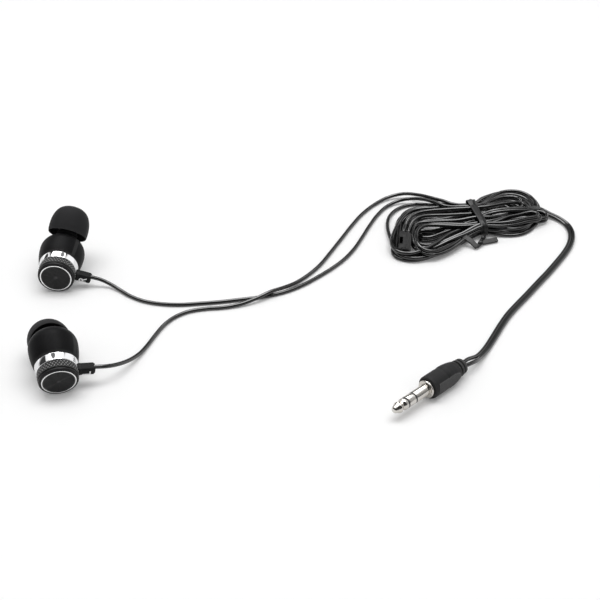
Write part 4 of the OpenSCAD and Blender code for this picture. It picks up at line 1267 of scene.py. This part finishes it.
def grip_painted_highlight(local):
    """Painted highlight: the panels, and by half the cord end behind the grooves."""
    y, z = abs(local[:, 1]), local[:, 2]
    panel = (y > 2.85) & (z > PANEL_FROM + 0.2) & (z < PANEL_TO - 0.2)
    return panel + 0.5 * (z < -14.1)


def build_plug():
    """The pin's five parts and the grip."""
    parts = (("pin_sleeve", SLEEVE, "nickel", "plug_sleeve"),
             ("pin_ring_insulator", RING_INSULATOR, "insulator", "ring_insulator"),
             ("pin_ring", RING, "nickel", "plug_ring"),
             ("pin_tip_insulator", TIP_INSULATOR, "insulator", "tip_insulator"),
             ("pin_tip", TIP, "nickel", "plug_tip"))
    made = [piece(name, placed(PLUG_PLACE, lathed(profile, 96, closed=False)), material, replaces=[old])
            for name, profile, material, old in parts]
    grip = piece("plug_grip", placed(PLUG_PLACE, ribbed_grip()), "plug_rubber", replaces=["plug_body"])
    # The grip's panels and cord end are painted lighter: a painted highlight.
    painted_highlight(grip, PLUG_PLACE, grip_painted_highlight)
    return made + [grip]


plug_parts = build_plug()

# ---------- Floor and light ----------


FLOOR_HALF_M = 6.0
FLOOR_WHITE, FLOOR_GLOW = 0.93, 0.08


def floor_material():
    """White paper that keeps its shadows and glows a little to the camera and in the metal."""
    material = bpy.data.materials.new("studio_floor")
    material.use_nodes = True
    tree = material.node_tree
    shader = tree.nodes["Principled BSDF"].inputs
    shader["Base Color"].default_value = grey(FLOOR_WHITE)
    shader["Roughness"].default_value = 0.9
    shader["Specular IOR Level"].default_value = 0.1
    shader["Emission Color"].default_value = grey(1.0)
    rays = node(tree, "ShaderNodeLightPath").outputs
    seen = maths(tree, "MAXIMUM", rays["Is Camera Ray"], rays["Is Glossy Ray"])
    feed(tree, shader["Emission Strength"], maths(tree, "MULTIPLY", seen, FLOOR_GLOW))
    return material


def build_floor():
    mesh = bpy.data.meshes.new("floor")
    corners = [(x * FLOOR_HALF_M, y * FLOOR_HALF_M, 0) for x, y in ((-1, -1), (1, -1), (1, 1), (-1, 1))]
    mesh.from_pydata(corners, [], [(0, 1, 2, 3)])
    mesh.materials.append(floor_material())
    floor = bpy.data.objects.new("floor", mesh)
    scene.collection.objects.link(floor)


# How bright the room looks in the gloss: the bank, the walls, the wall straight behind, the right
# one and the dark rest. The last is the even light that all other surfaces get.
BANK, WALL, BACK_WALL, RIGHT_WALL, DARK = 8.0, 1.25, 0.3, 0.5, 0.05
EVEN = 0.54
# Where each part of the room begins and where it is full, by the x, y or z of the direction. A part
# that ends there has the two the other way round.
BANK_UP, BANK_BACK, BANK_HALF = (0.66, 0.74), (-0.25, -0.05), (0.36, 0.52)
LOW_UP, LOW_BACK = (0.2, 0.05), (-0.1, 0.35)
WALLS_OUT, WALLS_BACK, BACK_WALL_HALF = (0.5, 0.64), (0.15, 0.3), (0.3, 0.12)
RIGHT_OUT, RIGHT_BACK = (0.6, 0.8), (-0.25, -0.1)
# Small dark cards in the room, by direction: half width and how light they are.
CARDS = (((-0.174, 0.167, 0.970), 0.25, 0.22), ((0.299, 0.496, 0.817), 0.2, 0.3),
         ((-0.775, 0.533, 0.349), 0.29, 0.06))
CARD_CORE = 0.6


def ramp(tree, value, span, low, high):
    """A smooth step between two levels, from low at the span's first end to high at its other."""
    if span[0] > span[1]:
        span, low, high = span[::-1], high, low
    made = node(tree, "ShaderNodeMapRange", interpolation_type="SMOOTHSTEP")
    for label, given in (("Value", value), ("From Min", span[0]), ("From Max", span[1]),
                         ("To Min", low), ("To Max", high)):
        feed(tree, made.inputs[label], given)
    return made.outputs["Result"]


def room_brightness(tree, way):
    """What the gloss sees each way: a broad bank above and behind, pale walls at the sides and a
    dark room in front and straight behind, with three dark cards."""
    split = node(tree, "ShaderNodeSeparateXYZ")
    feed(tree, split.inputs["Vector"], way)
    x, y, z = split.outputs
    wide = maths(tree, "ABSOLUTE", x, 0.0)

    def both(a, b):
        return maths(tree, "MULTIPLY", a, b)

    def full(value, span):
        return ramp(tree, value, span, 0.0, 1.0)

    bank = both(both(full(z, BANK_UP), full(y, BANK_BACK)), ramp(tree, wide, BANK_HALF, BANK, WALL))
    low = both(full(z, LOW_UP), full(y, LOW_BACK))
    walls = maths(tree, "ADD", ramp(tree, wide, WALLS_OUT, 0.0, WALL),
                  ramp(tree, wide, BACK_WALL_HALF, 0.0, BACK_WALL))
    walls = both(walls, full(y, WALLS_BACK))
    right = both(ramp(tree, x, RIGHT_OUT, 0.0, RIGHT_WALL), full(y, RIGHT_BACK))
    lit = bank
    for zone in (low, walls, right):
        lit = maths(tree, "MAXIMUM", lit, zone)
    lit = maths(tree, "ADD", lit, DARK)
    for at, half, level in CARDS:
        gap = node(tree, "ShaderNodeVectorMath", operation="DISTANCE")
        feed(tree, gap.inputs[0], way)
        feed(tree, gap.inputs[1], at)
        card = ramp(tree, gap.outputs["Value"], (half * CARD_CORE, half), level, BANK)
        lit = maths(tree, "MINIMUM", lit, card)
    return lit


def build_world():
    """Even light for the surfaces, and the room for the gloss."""
    world = bpy.data.worlds.new("studio")
    world.use_nodes = True
    tree = world.node_tree
    shade = tree.nodes["Background"].inputs
    shade["Color"].default_value = grey(1.0)
    strength = node(tree, "ShaderNodeMix")
    way = node(tree, "ShaderNodeTexCoord").outputs["Generated"]
    for label, value in (("Factor", node(tree, "ShaderNodeLightPath").outputs["Is Glossy Ray"]),
                         ("A", EVEN), ("B", room_brightness(tree, way))):
        feed(tree, strength.inputs[label], value)
    feed(tree, shade["Strength"], strength.outputs["Result"])
    scene.world = world


LIGHT_AT_M, LIGHT_AIM_M = Vector((0.07, 0.10, 0.95)), Vector((0.07, 0.02, 0.0))
LIGHT_SIZE_M, LIGHT_POWER = (1.2, 0.5), 5.7


def build_light():
    """The soft light overhead. It doesn't show in the gloss."""
    data = bpy.data.lights.new("overhead", "AREA")
    data.shape = "RECTANGLE"
    data.size, data.size_y = LIGHT_SIZE_M
    data.energy = LIGHT_POWER
    light = bpy.data.objects.new("overhead", data)
    light.location = LIGHT_AT_M
    light.rotation_euler = (LIGHT_AIM_M - LIGHT_AT_M).to_track_quat("-Z", "Y").to_euler()
    light.visible_glossy = False
    scene.collection.objects.link(light)


build_floor()
build_world()
build_light()
scene.view_settings.view_transform = "Standard"
